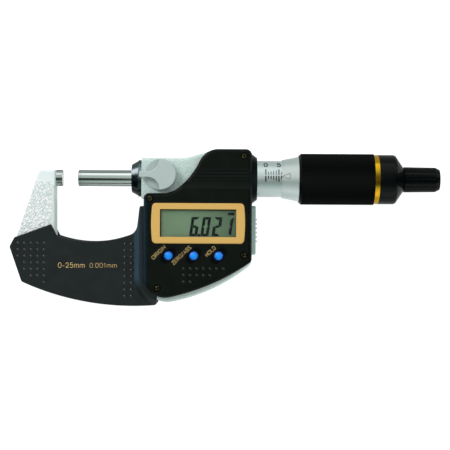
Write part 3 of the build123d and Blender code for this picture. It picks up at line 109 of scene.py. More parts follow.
# Brightness of the studio by angle from straight up in degrees, positive towards +Y, as it shows
# in each turned piece
nose_bands = [
    (-180, 0.25), (-110, 0.15), (-80, 0.06), (-50, 0.03), (20, 0.00), (60, 0.05), (90, 0.25),
    (180, 0.40),
]
cone_bands = [
    (-180, 0.90), (-140, 0.84), (-128, 0.92), (-108, 0.99), (-84, 1.33), (-71, 1.29), (-65, 1.18),
    (-53, 1.01), (-47, 0.96), (-41, 0.91), (-36, 0.86), (-30, 0.80), (-25, 0.75), (-19, 0.75),
    (-14, 0.79), (-9, 0.88), (-4, 1.02), (2, 1.09), (7, 1.18), (12, 1.26), (23, 1.23), (34, 1.17),
    (51, 0.92), (63, 0.83), (70, 0.79), (76, 0.76), (83, 0.73), (91, 0.67), (99, 0.71), (117, 0.66),
    (128, 0.69), (180, 0.74),
]
anvil_bands = [
    (-180, 0.30), (-104, 0.20), (-96, 0.02), (-73, 0.02), (-69, 0.16), (-54, 0.21), (-40, 0.16),
    (-30, 0.08), (-26, 0.03), (-2, 0.03), (6, 0.35), (12, 0.66), (22, 0.66), (28, 0.50), (36, 0.55),
    (42, 0.85), (50, 1.00), (58, 1.20), (70, 1.20), (76, 0.75), (88, 0.50), (95, 0.38), (180, 0.40),
]
left_bands = [
    (-180, 0.75), (-100, 0.30), (-95, 0.00), (-71, 0.00), (-68, 0.66), (-62, 0.72), (-50, 0.60),
    (-40, 0.42), (-31, 0.22), (-26, 0.00), (-4, 0.00), (-1, 0.58), (13, 0.62), (28, 0.62),
    (36, 0.75), (41, 1.00), (44, 1.40), (71, 1.55), (75, 0.12), (90, 0.12), (110, 0.25),
    (125, 0.40), (150, 0.75), (180, 0.75),
]
middle_bands = [
    (-180, 0.85), (-134, 0.68), (-120, 0.74), (-108, 0.78), (-98, 0.83), (-89, 1.10), (-81, 1.09),
    (-73, 0.98), (-65, 0.82), (-58, 0.69), (-51, 0.62), (-44, 0.61), (-37, 0.58), (-31, 0.58),
    (-24, 0.64), (-18, 0.71), (-11, 0.82), (-5, 0.91), (1, 1.03), (8, 1.16), (14, 1.29), (20, 1.43),
    (27, 1.51), (34, 1.52), (47, 1.39), (62, 1.28), (69, 1.30), (77, 1.32), (86, 1.23), (95, 0.77),
    (117, 0.67), (180, 0.84),
]
right_bands = [
    (-180, 0.30), (-116.5, 0.45), (-102.5, 0.62), (-91.5, 0.74), (-70.5, 0.96), (-59.5, 0.85),
    (-49.5, 0.70), (-42.5, 0.54), (-34.5, 0.30), (-29.5, 0.12), (-24.5, 0.03), (-20.5, 0.00),
    (7.5, 0.00), (13.5, 0.00), (19.5, 0.04), (26.5, 0.15), (36.5, 0.42), (46.5, 0.63), (56.5, 0.78),
    (67.5, 0.92), (77.5, 0.85), (83.5, 0.50), (87.5, 0.28), (106.5, 0.20), (123.5, 0.30),
    (180, 0.30),
]
# Where each set of bands takes over from the one before, along the X of the direction, after the
# nose's at the left
band_zones = [
    ((-0.46, -0.38), cone_bands),
    ((-0.19, -0.165), anvil_bands),
    ((-0.121, -0.115), left_bands),
    ((-0.06, -0.045), middle_bands),
    ((0.085, 0.10), right_bands),
]

# Zones of the looks: steps along an axis, each from the place of no effect to that of full effect
# in mm; a zone is where all its steps are passed
zones = {
    "leg and bow": [("X", 30.3, 29.9)],
    "below the tip": [("Y", -0.4, -2.2)],
    "face of the leg": [("X", -3.2, -4.2)],
    "rim of the bow": [("Y", -24.0, -27.0)],
    "inner side of the leg": [
        ("X", -3.4, -2.8), ("Z", -3.5, 1.5), ("Y", 0.5, -3.0), ("Y", -26.0, -23.0),
    ],
    "front rim of the block": [("Y", -18.0, -24.0), ("Z", 0.5, 4.0)],
    "lip of the cover": [("X", 27.2, 28.2), ("X", 31.3, 30.9), ("Z", 5.2, 6.0), ("Y", -43.0, -38.0)],
    "grooved strip": [("Y", -0.7, -0.5), ("Y", 3.4, 3.2)],
    "floor of the grooves": [("Z", 11.15, 11.0)],
    "left rim of the housing": [("X", 33.6, 32.4), ("Y", -6.0, -9.0), ("Z", 9.5, 11.0)],
    "button wells": [("X", 36.0, 36.5), ("Y", -25.5, -26.0), ("Y", -34.0, -33.5), ("Z", 11.95, 11.85)],
    "upper face of the housing": [("Y", -1.5, -1.3)],
    "upper half": [("Y", -1.5, 1.5)],
    "top of the buttons": [("Z", 11.62, 12.35)],
    "right of the display": [("X", 46.0, 72.0)],
}

# Textures: sizes of their features, steps from none to full, spreads of the roughness, reliefs
cell_size = 1.05 * mm
cell_length = 1.7 * mm
cell_turn = math.radians(56)
cell_wobble = 0.9
line_width = (0.13, 0.01)
line_break = 1.0 * mm
line_gaps = (0.36, 0.52)
pillow_slope = (0.0, 0.38)
satin_pillow = 0.06
enamel_grain = 0.35 * mm
grain_contrast = (0.36, 0.64)
grain_share = 0.15
enamel_relief = 0.28 * mm
plastic_cloud = 6 * mm
plastic_contrast = (0.35, 0.70)
plastic_gloss = 1.5 * mm
plastic_spread = 0.15
plastic_grain = 0.12 * mm
plastic_relief = 0.004 * mm
turned_line = 0.05 * mm
turned_length = 400
turned_cloud = 4 * mm
turned_shade = 0.93
turned_spread = 0.05
turned_relief = 0.0004 * mm
brushed_line = 0.06 * mm
brushed_length = 300
brushed_shade = 0.90
brushed_spread = 0.15
brushed_relief = 0.002 * mm
button_gloss = 0.3 * mm
lcd_cloud = 5 * mm
lcd_grain = 0.1 * mm
lcd_relief = 0.001 * mm
window_gloss = 3 * mm
track_size = 0.8 * mm
track_stretch = (4, 1, 1)
track_edge = (0.50, 0.54)
fleck_size = 0.35 * mm
fleck_edge = (0.48, 0.62)
ink_wear = 0.4 * mm
ink_shade = 0.80

# Screw heads: the levels between which painted shade darkens the recess, and how much lower the upper
# screws sit
recess_shade_levels = (11.6 * mm, 11.4 * mm)
upper_face_drop = 0.8 * mm

# Plain looks by material slot: colour as on a screen, roughness, then for turned pieces metallic
# and specular level, and for plastics specular level and how much brighter the cloudy spots are
turned_slots = {
    "anvil_steel": ((206, 214, 212), 0.10, 1.0, 0.50),
    "spindle_steel": ((206, 214, 210), 0.09, 1.0, 0.50),
    "carbide": ((200, 206, 202), 0.10, 1.0, 0.50),
    "satin_chrome": ((200, 214, 211), 0.28, 1.0, 0.50),
    "thimble_chrome": ((196, 209, 206), 0.28, 1.0, 0.50),
    "sleeve_steel": ((190, 194, 196), 0.30, 1.0, 0.50),
    "ratchet_steel": ((150, 152, 155), 0.35, 1.0, 0.50),
    "spring_steel": ((165, 168, 172), 0.25, 1.0, 0.50),
    "key_steel": ((185, 187, 190), 0.25, 1.0, 0.50),
    "clamp_steel": ((175, 177, 180), 0.30, 1.0, 0.50),
    "cell_steel": ((200, 202, 206), 0.15, 1.0, 0.50),
    "bush_brass": ((208, 178, 110), 0.30, 1.0, 0.50),
    "rotor_brass": ((206, 176, 112), 0.30, 1.0, 0.50),
    "contact_brass": ((214, 188, 126), 0.25, 1.0, 0.50),
    "accent_gold": ((242, 185, 40), 0.10, 1.0, 0.50),
    "grip_black": ((3, 6, 5), 0.36, 0.0, 0.07),
}
plastic_slots = {
    "collar_black": ((6, 10, 10), 0.20, 0.04, 1.35),
    "lid_plastic": ((36, 38, 40), 0.45, 0.50, 1.35),
    "socket_plastic": ((34, 36, 38), 0.50, 0.50, 1.35),
    "cap_plastic": ((160, 183, 176), 0.42, 0.50, 1.06),
    "end_cap_black": ((3, 5, 5), 0.14, 0.16, 1.35),
    "knob_grey": ((157, 170, 167), 0.40, 0.50, 1.05),
    "wiper_rubber": ((30, 30, 31), 0.75, 0.50, 1.35),
    "membrane_rubber": ((110, 112, 118), 0.80, 0.50, 1.10),
    "gasket_rubber": ((125, 60, 52), 0.75, 0.50, 1.10),
}

# Main scale on the sleeve and index on the thimble
sleeve_r = 7.0 * mm
zero_x = 78.27 * mm
scale_length = 25
numeral_every = 5
datum_angle = math.radians(10.0)
lead = 2.0 * mm
shown_reading = 6.021
print_lift = 0.02 * mm
print_sink = 0.02 * mm
tick_w = 0.34 * mm
lower_tick_w = 0.46 * mm
long_tick_w = 0.56 * mm
tick_gap = 0.22 * mm
tick_reach = [2.5 * mm, 1.4 * mm, 1.56 * mm, 1.78 * mm, 2.05 * mm]
numeral_up = 3.55 * mm
numeral_h = 2.5 * mm
numeral_w = 1.60 * mm
numeral_space = 0.55 * mm
numeral_stroke = 0.46 * mm
index_l = 2.95 * mm
index_half = 1.15 * mm
index_line = 0.25 * mm
index_round = 0.25 * mm
lip_r = 7.4 * mm
cone_end_r = 8.65 * mm
cone_l = 6.4 * mm
slice_step = 0.3 * mm

# Display
digit_h = 7.25 * mm
digit_w = 3.1 * mm
digit_pitch = 4.29 * mm
digit_stroke = 1.12 * mm
digit_bar = 0.98 * mm
digit_gap = 0.05 * mm
digit_slant = math.tan(math.radians(8.2))
digits_right = 66.10 * mm
digits_top = -14.94 * mm
digit_t = 0.03 * mm
point_at = (52.85 * mm, -21.8 * mm)
point_size = 0.95 * mm
point_round = 0.15 * mm
point_steps = 4
segments_of = {"0": "abcdef", "1": "bc", "2": "abdeg", "6": "acdefg"}
unit_at = (65.05 * mm, -13.72 * mm)
unit_w = 2.45 * mm
unit_h = 1.45 * mm
unit_stroke = 0.50 * mm
# Painted shadow: widths of a dark strip on the display glass along the window's top and left edges
shadow_strip_top = 0.42 * mm
shadow_strip_left = 0.40 * mm
window_low = (38.1 * mm, -22.5 * mm)
window_high = (67.0 * mm, -12.0 * mm)

# Gold print: words with their middles in the plan and lengths in mm, and for the marks also cap
# height and stroke
cover_face_z = 6.2 * mm
housing_face_z = 12.0 * mm
label_stroke = 0.09 * mm
label_turn = math.radians(44)
label_h = 1.5 * mm
button_labels = [
    ("ORIGIN", (37.64, -28.41), 6.5),
    ("ZERO/ABS", (46.29, -29.41), 9.3),
    ("HOLD", (57.26, -27.93), 4.6),
]
range_marks = [
    ("0-25mm", (3.97, -33.6), 10.1, 1.95, 0.115),
    ("0.001mm", (16.2, -33.6), 10.3, 1.75, 0.08),
]

# Letters drawn with one stroke width, in cap heights: advance, then strokes as (corner radius,
# points)
glyphs = {
    "O": (0.68, [(0.33, [(0, 0), (0, 1), (0.68, 1), (0.68, 0), (0, 0)])]),
    "0": (0.58, [(0.29, [(0, 0), (0, 1), (0.58, 1), (0.58, 0), (0, 0)])]),
    "R": (0.58, [(0.22, [(0, 1), (0.56, 1), (0.56, 0.48), (0, 0.48)]), (0, [(0, 0), (0, 1)]),
                 (0, [(0.28, 0.48), (0.6, 0)])]),
    "I": (0.0, [(0, [(0, 0), (0, 1)])]),
    "G": (0.64, [(0.26, [(0.62, 0.8), (0.6, 1), (0, 1), (0, 0), (0.62, 0), (0.62, 0.48)]),
                 (0, [(0.34, 0.48), (0.62, 0.48), (0.62, 0)])]),
    "N": (0.62, [(0, [(0, 0), (0, 1), (0.62, 0), (0.62, 1)])]),
    "Z": (0.56, [(0, [(0, 1), (0.56, 1), (0, 0), (0.58, 0)])]),
    "E": (0.50, [(0, [(0.5, 1), (0, 1), (0, 0), (0.52, 0)]), (0, [(0, 0.52), (0.45, 0.52)])]),
    "/": (0.45, [(0, [(0, -0.12), (0.45, 1.12)])]),
    "A": (0.68, [(0, [(0, 0), (0.34, 1), (0.68, 0)]), (0, [(0.12, 0.32), (0.56, 0.32)])]),
    "B": (0.56, [(0.22, [(0, 1), (0.52, 1), (0.52, 0.53), (0, 0.53)]),
                 (0.22, [(0, 0.53), (0.56, 0.53), (0.56, 0), (0, 0)]), (0, [(0, 0), (0, 1)])]),
    "S": (0.56, [(0.22, [(0.54, 0.8), (0.5, 1), (0, 1), (0.02, 0.56), (0.56, 0.46), (0.56, 0),
                         (0.05, 0), (0, 0.2)])]),
    "H": (0.60, [(0, [(0, 0), (0, 1)]), (0, [(0.6, 0), (0.6, 1)]), (0, [(0, 0.52), (0.6, 0.52)])]),
    "L": (0.48, [(0, [(0, 1), (0, 0), (0.48, 0)])]),
    "D": (0.60, [(0.28, [(0, 1), (0.6, 1), (0.6, 0), (0, 0)]), (0, [(0, 0), (0, 1)])]),
    "1": (0.34, [(0, [(0, 0.76), (0.22, 1), (0.22, 0)])]),
    "2": (0.54, [(0.24, [(0, 0.72), (0, 1), (0.52, 1), (0.54, 0.56), (0, 0.04)]),
                 (0, [(0, 0), (0.56, 0)])]),
    "5": (0.54, [(0.26, [(0.04, 0.52), (0.54, 0.7), (0.54, 0), (0, 0), (0, 0.2)]),
                 (0, [(0.5, 1), (0.08, 1), (0.04, 0.52)])]),
    "-": (0.36, [(0, [(0, 0.38), (0.36, 0.38)])]),
    ".": (0.02, [(0, [(0.01, -0.02), (0.01, 0.09)])]),
    "m": (0.86, [(0, [(0, 0), (0, 0.7)]), (0.2, [(0, 0.5), (0.02, 0.7), (0.43, 0.7), (0.43, 0)]),
                 (0.2, [(0.43, 0.5), (0.45, 0.7), (0.86, 0.7), (0.86, 0)])]),
}
letter_space = 0.30

# Crowns on the grip bumps
bump_h = 0.32 * mm
crown_r = 0.60 * mm
crown_h = 0.40 * mm
crown_sides = 20
crown_rings = 5

# Meshes: points this near are one, and ends or levels this near meet
same_point = 0.001 * mm
close_by = 0.01 * mm
# The least share that a mitre divides by
mitre_limit = 0.5


def srgb(red, green, blue):
    """Linear colour of one given as it looks on a screen, 0 to 255."""
    shares = [value / 255 for value in (red, green, blue)]
    linear = [s / 12.92 if s <= 0.04045 else ((s + 0.055) / 1.055) ** 2.4 for s in shares]
    return (*linear, 1.0)


def shaded(color, factor):
    """A colour with its light multiplied, white at most."""
    return (*(min(1.0, part * factor) for part in color[:3]), 1.0)


class Graph:
    """A node tree under construction. Most helpers return the output of a new node."""

    def __init__(self, tree):
        self.nodes = tree.nodes
        self.links = tree.links

    def feed(self, socket, value):
        """Sets a socket to a number or colour, or links an output to it."""
        if isinstance(value, bpy.types.NodeSocket):
            self.links.new(value, socket)
        else:
            socket.default_value = value

    def new(self, kind, *values, **inputs):
        """A node, its inputs fed in order or by name, with an underscore for each space."""
        node = self.nodes.new("ShaderNode" + kind)
        for socket, value in zip(node.inputs, values):
            self.feed(socket, value)
        for name, value in inputs.items():
            self.feed(node.inputs[name.replace("_", " ")], value)
        return node

    def math(self, operation, first, second=0.0):
        """A sum, product or such of two values."""
        node = self.new("Math", first, second)
        node.operation = operation
        return node.outputs["Value"]

    def level(self, share, low, high):
        """A value that goes from low at share 0 to high at share 1."""
        return self.math("ADD", self.math("MULTIPLY", share, high - low), low)

    def between(self, value, low, high, kind="SMOOTHSTEP"):
        """0 below low, 1 above high, and a smooth or linear step between."""
        node = self.new("MapRange", Value=value, From_Min=low, From_Max=high)
        node.interpolation_type = kind
        return node.outputs["Result"]

    def mix(self, share, first, second):
        """The first colour at share 0 and the second at share 1."""
        node = self.new("Mix")
        node.data_type = "RGBA"
        sockets = {socket.identifier: socket for socket in node.inputs}
        for name, value in (("Factor_Float", share), ("A_Color", first), ("B_Color", second)):
            self.feed(sockets[name], value)
        return next(out for out in node.outputs if out.identifier == "Result_Color")

    def blend(self, value, limits, first, second):
        """The first colour up to one limit of a value, and the second from the other limit."""
        return self.mix(self.between(value, *limits, "LINEAR"), first, second)

    def axes(self, place):
        """The parts of a place by the names X, Y and Z."""
        return self.new("SeparateXYZ", Vector=place).outputs

    def ramp(self, share, levels, tint):
        """A tinted brightness along a share from 0 to 1, from pairs of place and level."""
        node = self.new("ValToRGB", Fac=share)
        stops = node.color_ramp.elements
        while len(stops) > 1:
            stops.remove(stops[-1])
        for index, (place, level) in enumerate(levels):
            stop = stops[0] if index == 0 else stops.new(place)
            stop.position = place
            white = min(level, 1.0)
            stop.color = (*(level * (part + (1 - part) * white) for part in tint), 1)
        return node.outputs["Color"]


class Look(Graph):
    """A material under construction: its shader, and helpers for the nodes that feed it."""

    def __init__(self, name, color, roughness, **more):
        self.material = bpy.data.materials.new("look_" + name)
        self.material.use_nodes = True
        super().__init__(self.material.node_tree)
        self.shader = self.nodes["Principled BSDF"]
        self.place = self.new("TexCoord").outputs["Object"]
        self.set(Base_Color=color, Roughness=roughness, **more)

    def set(self, **inputs):
        """Sets or links inputs of the shader by name, with an underscore for each space."""
        for name, value in inputs.items():
            self.feed(self.shader.inputs[name.replace("_", " ")], value)

    def tint(self, share, color):
        """Lays a colour over the present base colour, fully at share 1."""
        base = self.shader.inputs["Base Color"]
        under = base.links[0].from_socket if base.is_linked else tuple(base.default_value)
        self.set(Base_Color=self.mix(share, under, color))

    def uneven(self, share, roughness, spread):
        """Roughness that varies with a share, by a spread to both sides."""
        self.set(Roughness=self.level(share, roughness * (1 - spread), roughness * (1 + spread)))

    def bump(self, height, depth):
        """Relief from a height of 0 to 1, depth metres deep."""
        self.set(Normal=self.new("Bump", Strength=1.0, Distance=depth, Height=height).outputs["Normal"])

    def zone(self, name):
        """1 in a zone and 0 outside it."""
        place = self.axes(self.place)
        steps = [self.between(place[axis], none * mm, full * mm) for axis, none, full in zones[name]]
        share = steps[0]
        for step in steps[1:]:
            share = self.math("MULTIPLY", share, step)
        return share

    def noise(self, size, detail=2.0, stretch=(1, 1, 1)):
        """Soft noise from 0 to 1 whose features are about one size across."""
        scale = [1 / (size * times) for times in stretch]
        place = self.new("Mapping", Vector=self.place, Scale=scale).outputs["Vector"]
        return self.new("TexNoise", Vector=place, Scale=1.0, Detail=detail).outputs["Fac"]

    def borders(self, size, length, turn):
        """Way to the borders of wavy cells that lie along a direction."""
        mapping = self.new("Mapping", Vector=self.place)
        mapping.vector_type = "TEXTURE"
        mapping.inputs["Rotation"].default_value = (0, 0, turn)
        mapping.inputs["Scale"].default_value = (length, size, size)
        place = mapping.outputs["Vector"]
        swirl = self.new("TexNoise", Vector=place, Scale=1.0).outputs["Color"]
        wobble = self.new("VectorMath", swirl, [cell_wobble] * 3, place)
        wobble.operation = "MULTIPLY_ADD"
        cells = self.new("TexVoronoi", Vector=wobble.outputs["Vector"], Scale=1.0)
        cells.feature = "DISTANCE_TO_EDGE"
        return cells.outputs["Distance"]


def frame_look():
    """Hammered pale enamel on the leg and bow, smoother satin enamel on the boss and block, with
    painted light along the block's front rim and painted shade on the inner side of the leg.
    """
    face = srgb(222, 225, 225)
    look = Look("frame_paint", face, roughness=0.40, Specular_IOR_Level=0.25)
    border = look.borders(cell_size, cell_length, cell_turn)
    grain = look.noise(enamel_grain, detail=3.0)
    on_leg, below_tip = look.zone("leg and bow"), look.zone("below the tip")
    seen = look.math("MAXIMUM", look.zone("face of the leg"), look.zone("rim of the bow"))
    hammered = look.math("MULTIPLY", on_leg, look.math("MULTIPLY", seen, below_tip))
    breaks = look.between(look.noise(line_break, detail=1.0), *line_gaps)
    lines = look.math("MULTIPLY", look.between(border, *line_width), breaks)
    grained = look.mix(look.between(grain, *grain_contrast), srgb(160, 182, 176), srgb(196, 212, 207))
    # Painted light: the block's front rim, which faces down, is made paler.
    satin = look.mix(look.zone("front rim of the block"), grained, srgb(226, 236, 232))
    tip = look.mix(below_tip, srgb(207, 216, 216), face)
    # Painted shade: the inner side of the leg is made darker and greener.
    leg = look.mix(look.zone("inner side of the leg"), tip, srgb(188, 208, 201))
    look.set(Base_Color=look.mix(on_leg, satin, leg))
    look.tint(look.math("MULTIPLY", lines, hammered), srgb(168, 188, 185))
    depth = look.level(hammered, satin_pillow, 1.0)
    pillow = look.math("MULTIPLY", look.between(border, *pillow_slope), depth)
    look.bump(look.math("ADD", pillow, look.math("MULTIPLY", grain, grain_share)), enamel_relief)
    return look


def plastic_look(name, color, roughness, specular=0.5, shade=1.35, **more):
    """Moulded plastic with a fine grain, cloudy lighter spots and slightly uneven gloss."""
    look = Look(name, color, roughness, Specular_IOR_Level=specular, **more)
    cloud = look.noise(plastic_cloud, detail=3.0)
    look.tint(look.between(cloud, *plastic_contrast), shaded(color, shade))
    look.uneven(look.noise(plastic_gloss), roughness, plastic_spread)
    look.bump(look.noise(plastic_grain, detail=1.0), plastic_relief)
    return look


def turned_look(name, color, roughness, **more):
    """Metal turned or ground about the spindle axis, with fine lines round it."""
    look = Look(name, color, roughness, **more)
    lines = look.noise(turned_line, stretch=(1, turned_length, turned_length))
    look.tint(look.math("MULTIPLY", lines, look.noise(turned_cloud)), shaded(color, turned_shade))
    look.uneven(lines, roughness, turned_spread)
    look.bump(lines, turned_relief)
    return look


def brushed_look(name, color, roughness, **more):
    """Flat metal brushed along the spindle axis."""
    look = Look(name, color, roughness, **more)
    lines = look.noise(brushed_line, stretch=(brushed_length, 1, brushed_length))
    look.tint(lines, shaded(color, brushed_shade))
    look.uneven(lines, roughness, brushed_spread)
    look.bump(lines, brushed_relief)
    return look


def cover_look():
    """Cover plastic with a painted bluish reflection along its raised lip beside the display housing.
    """
    look = plastic_look("cover_plastic", srgb(16, 23, 23), roughness=0.34, specular=0.25)
    # Painted reflection: a bluish tint along the cover's lip beside the housing.
    look.tint(look.zone("lip of the cover"), srgb(15, 38, 48))
    return look


def housing_look():
    """Housing plastic, with painted light and shade on the grooved strip above the display, a painted
    bluish reflection on its left rim and painted shade in the button wells.
    """
    look = plastic_look("housing_plastic", srgb(7, 13, 9), roughness=0.36, specular=0.085)
    # Painted light and shade: the ridges of the grooved strip are made lighter and the groove floors
    # darker.
    strip = look.mix(look.zone("floor of the grooves"), srgb(15, 21, 18), srgb(6, 11, 8))
    look.tint(look.zone("grooved strip"), strip)
    # Painted reflection: a bluish tint along the housing's left rim.
    look.tint(look.zone("left rim of the housing"), srgb(12, 31, 38))
    # Painted shade: the button wells are made darker than the housing.
    look.tint(look.zone("button wells"), srgb(2, 4, 5))
    return look


def seal_look():
    """Glossy dark cap, with painted shade on its lower half."""
    upper_color = srgb(104, 120, 124)
    look = plastic_look("seal_plastic", upper_color, roughness=0.18, Metallic=1.0)
    # Painted shade: the lower half of the cap is made darker than the upper.
    look.set(Base_Color=look.mix(look.zone("upper half"), srgb(56, 66, 68), upper_color))
    return look


def button_look():
    """Glossy blue plastic, with painted shade at the foot of the dome."""
    foot, top = srgb(0, 44, 140), srgb(2, 130, 226)
    look = Look("button_blue", srgb(34, 132, 246), roughness=0.28, Specular_IOR_Level=0.3)
    look.set(Coat_Weight=0.3, Coat_Roughness=0.12)
    # Painted shade: the foot of each button is a deeper blue than its top.
    look.set(Base_Color=look.mix(look.zone("top of the buttons"), foot, top))
    look.set(Roughness=look.level(look.noise(button_gloss), 0.24, 0.32))
    return look


def lcd_look():
    """Grey-green display glass, a little deeper to the right, with a faint uneven tone."""
    look = Look("lcd", srgb(106, 134, 108), roughness=0.45)
    look.set(Base_Color=look.mix(look.noise(lcd_cloud), srgb(94, 124, 94), srgb(114, 140, 110)))
    look.tint(look.zone("right of the display"), srgb(70, 96, 71))
    look.bump(look.noise(lcd_grain), lcd_relief)
    return look


def window_look():
    """Clear pane."""
    look = Look("window_clear", srgb(60, 75, 68), roughness=0.06, Alpha=0.06)
    look.set(Roughness=look.level(look.noise(window_gloss), 0.04, 0.09))
    return look


def board_look(name, color):
    """Circuit board with faint tracks."""
    look = Look(name, color, roughness=0.4)
    tracks = look.noise(track_size, detail=1.0, stretch=track_stretch)
    look.tint(look.between(tracks, *track_edge), srgb(60, 120, 70))
    return look


def screw_look():
    """Dark bronze screw with a flecked head and painted shade in its cross recess."""
    look = Look("dark_screw", srgb(96, 84, 62), roughness=0.3, Metallic=0.9)
    drop = look.math("MULTIPLY", look.zone("upper face of the housing"), upper_face_drop)
    level = look.math("ADD", look.axes(look.place)["Z"], drop)
    flecks = look.between(look.noise(fleck_size), *fleck_edge)
    look.set(Base_Color=look.mix(flecks, srgb(34, 35, 26), srgb(132, 124, 84)))
    # Painted shade: the cross recess is made nearly black.
    look.tint(look.between(level, *recess_shade_levels), srgb(10, 10, 7))
    look.set(Roughness=look.level(flecks, 0.28, 0.4))
    return look


def print_look(name, color, roughness=0.5):
    """Ink with a slightly uneven tone."""
    look = Look(name, color, roughness, Specular_IOR_Level=0.1)
    look.tint(look.noise(ink_wear, detail=3.0), shaded(color, ink_shade))
    return look


def make_looks():
    """Every material by the slot that it stands for."""
    looks = {
        "frame_paint": frame_look(),
        "cover_plastic": cover_look(),
        "housing_plastic": housing_look(),
        "seal_plastic": seal_look(),
        "gold_trim": brushed_look("gold_trim", srgb(204, 164, 88), roughness=0.45, Metallic=0.1),
        "dark_screw": screw_look(),
        "button_blue": button_look(),
        "lcd": lcd_look(),
        "window_clear": window_look(),
        "board": board_look("board", srgb(40, 110, 62)),
        "encoder_board": board_look("encoder_board", srgb(44, 104, 66)),
    }
    for slot, (color, roughness, metallic, specular) in turned_slots.items():
        gloss = {"Metallic": metallic, "Specular_IOR_Level": specular}
        looks[slot] = turned_look(slot, srgb(*color), roughness, **gloss)
    for slot, (color, *numbers) in plastic_slots.items():
        looks[slot] = plastic_look(slot, srgb(*color), *numbers)
    return {slot: look.material for slot, look in looks.items()}


def dress_nodes(looks):
    """Gives every node the look of its material slot."""
    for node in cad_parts.values():
        slot = node.data.materials[0].name
        node.data.materials[0] = looks[slot]


def add_piece(name, bm, look, body):
    """Turns mesh code into a piece that rides on a body."""
    bmesh.ops.recalc_face_normals(bm, faces=bm.faces)
    mesh = bpy.data.meshes.new(name)
    bm.to_mesh(mesh)
    bm.free()
    piece = bpy.data.objects.new(name, mesh)
    bpy.context.scene.collection.objects.link(piece)
    mesh.materials.append(look.material)
    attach(piece, body)
    return piece


def plate(bm, outline, low, high):
    """A flat plate with an outline of (x, y) points, between two levels."""
    floor = [bm.verts.new((x, y, low)) for x, y in outline]
    roof = [bm.verts.new((x, y, high)) for x, y in outline]
    bm.faces.new(reversed(floor))
    bm.faces.new(roof)
    for index in range(len(outline)):
        after = (index + 1) % len(outline)
        bm.faces.new((floor[index], floor[after], roof[after], roof[index]))


def ribbon(bm, points, width, low, high):
    """A band of one width along a line of points, between two levels; closed if its ends meet."""
    path = [Vector(points[0])]
    for point in points[1:]:
        if (Vector(point) - path[-1]).length > same_point:
            path.append(Vector(point))
    count = len(path)
    closed = (path[0] - path[-1]).length < close_by
    rails = []
    for index, point in enumerate(path):
        before = path[index - 1] if index > 0 else path[-2] if closed else None
        after = path[index + 1] if index < count - 1 else path[1] if closed else None
        ways = []
        if before is not None:
            ways.append((point - before).normalized())
        if after is not None:
            ways.append((after - point).normalized())
        way = sum(ways, Vector((0, 0))).normalized()
        side = Vector((-way.y, way.x)) * width / 2 / max(mitre_limit, way.dot(ways[0]))
        rails.append([
            bm.verts.new((*(point + side * turn), level)) for turn in (1, -1) for level in (low, high)
        ])
    for here, there in zip(rails, rails[1:]):
        for one, two in ((0, 1), (1, 3), (3, 2), (2, 0)):
            bm.faces.new((here[one], here[two], there[two], there[one]))
    if not closed:
        for end in (rails[0], rails[-1]):
            bm.faces.new((end[0], end[1], end[3], end[2]))


def eased(points, radius, steps=6):
    """A line of points with its corners turned into short curves, all of them if its ends meet."""
    closed = points[0] == points[-1]
    ring = points[:-1]
    triples = (
        zip(ring[-1:] + ring[:-1], ring, ring[1:] + ring[:1]) if closed
        else zip(points, points[1:], points[2:])
    )
    line = [] if closed else [points[0]]
    for before, corner, after in triples:
        corner = Vector(corner)
        back, ahead = Vector(before) - corner, Vector(after) - corner
        back = back.normalized() * min(radius, back.length)
        ahead = ahead.normalized() * min(radius, ahead.length)
        for step in range(steps + 1):
            share = step / steps
            place = corner + back * (1 - share) ** 2 + ahead * share**2
            line.append((place.x, place.y))
    return line + [line[0] if closed else points[-1]]


def written(text, width, height, stroke, low=-print_sink, high=print_lift):
    """Words in plain strokes between two levels, centred on the origin and fitted to a size."""
    advances = [glyphs[letter][0] for letter in text]
    whole = sum(advances) + letter_space * (len(text) - 1)
    wide = (width - stroke) / whole
    tall = height - stroke
    bm = bmesh.new()
    left = -whole / 2
    for letter, advance in zip(text, advances):
        for radius, points in glyphs[letter][1]:
            line = eased(points, radius) if radius else points
            ribbon(bm, [((left + x) * wide, (y - 0.5) * tall) for x, y in line], stroke, low, high)
        left += advance + letter_space
    return bm


def wrap(bm, radius_at, angle):
    """Bends a flat mesh round the spindle axis: y becomes the way round from an angle."""
    ys = [vert.co.y for vert in bm.verts]
    cut_y = math.floor(min(ys) / slice_step) * slice_step
    while cut_y < max(ys):
        geometry = bm.verts[:] + bm.edges[:] + bm.faces[:]
        bmesh.ops.bisect_plane(bm, geom=geometry, plane_co=(0, cut_y, 0), plane_no=(0, 1, 0))
        cut_y += slice_step
    for vert in bm.verts:
        x, y, z = vert.co
        radius = radius_at(x)
        around = angle + y / radius
        out = radius + z
        vert.co = (x, out * math.sin(around), out * math.cos(around))


def joined(meshes):
    """One mesh out of several, which are used up."""
    whole = bmesh.new()
    for part in meshes:
        carrier = bpy.data.meshes.new("part")
        part.to_mesh(carrier)
        part.free()
        whole.from_mesh(carrier)
        bpy.data.meshes.remove(carrier)
    return whole


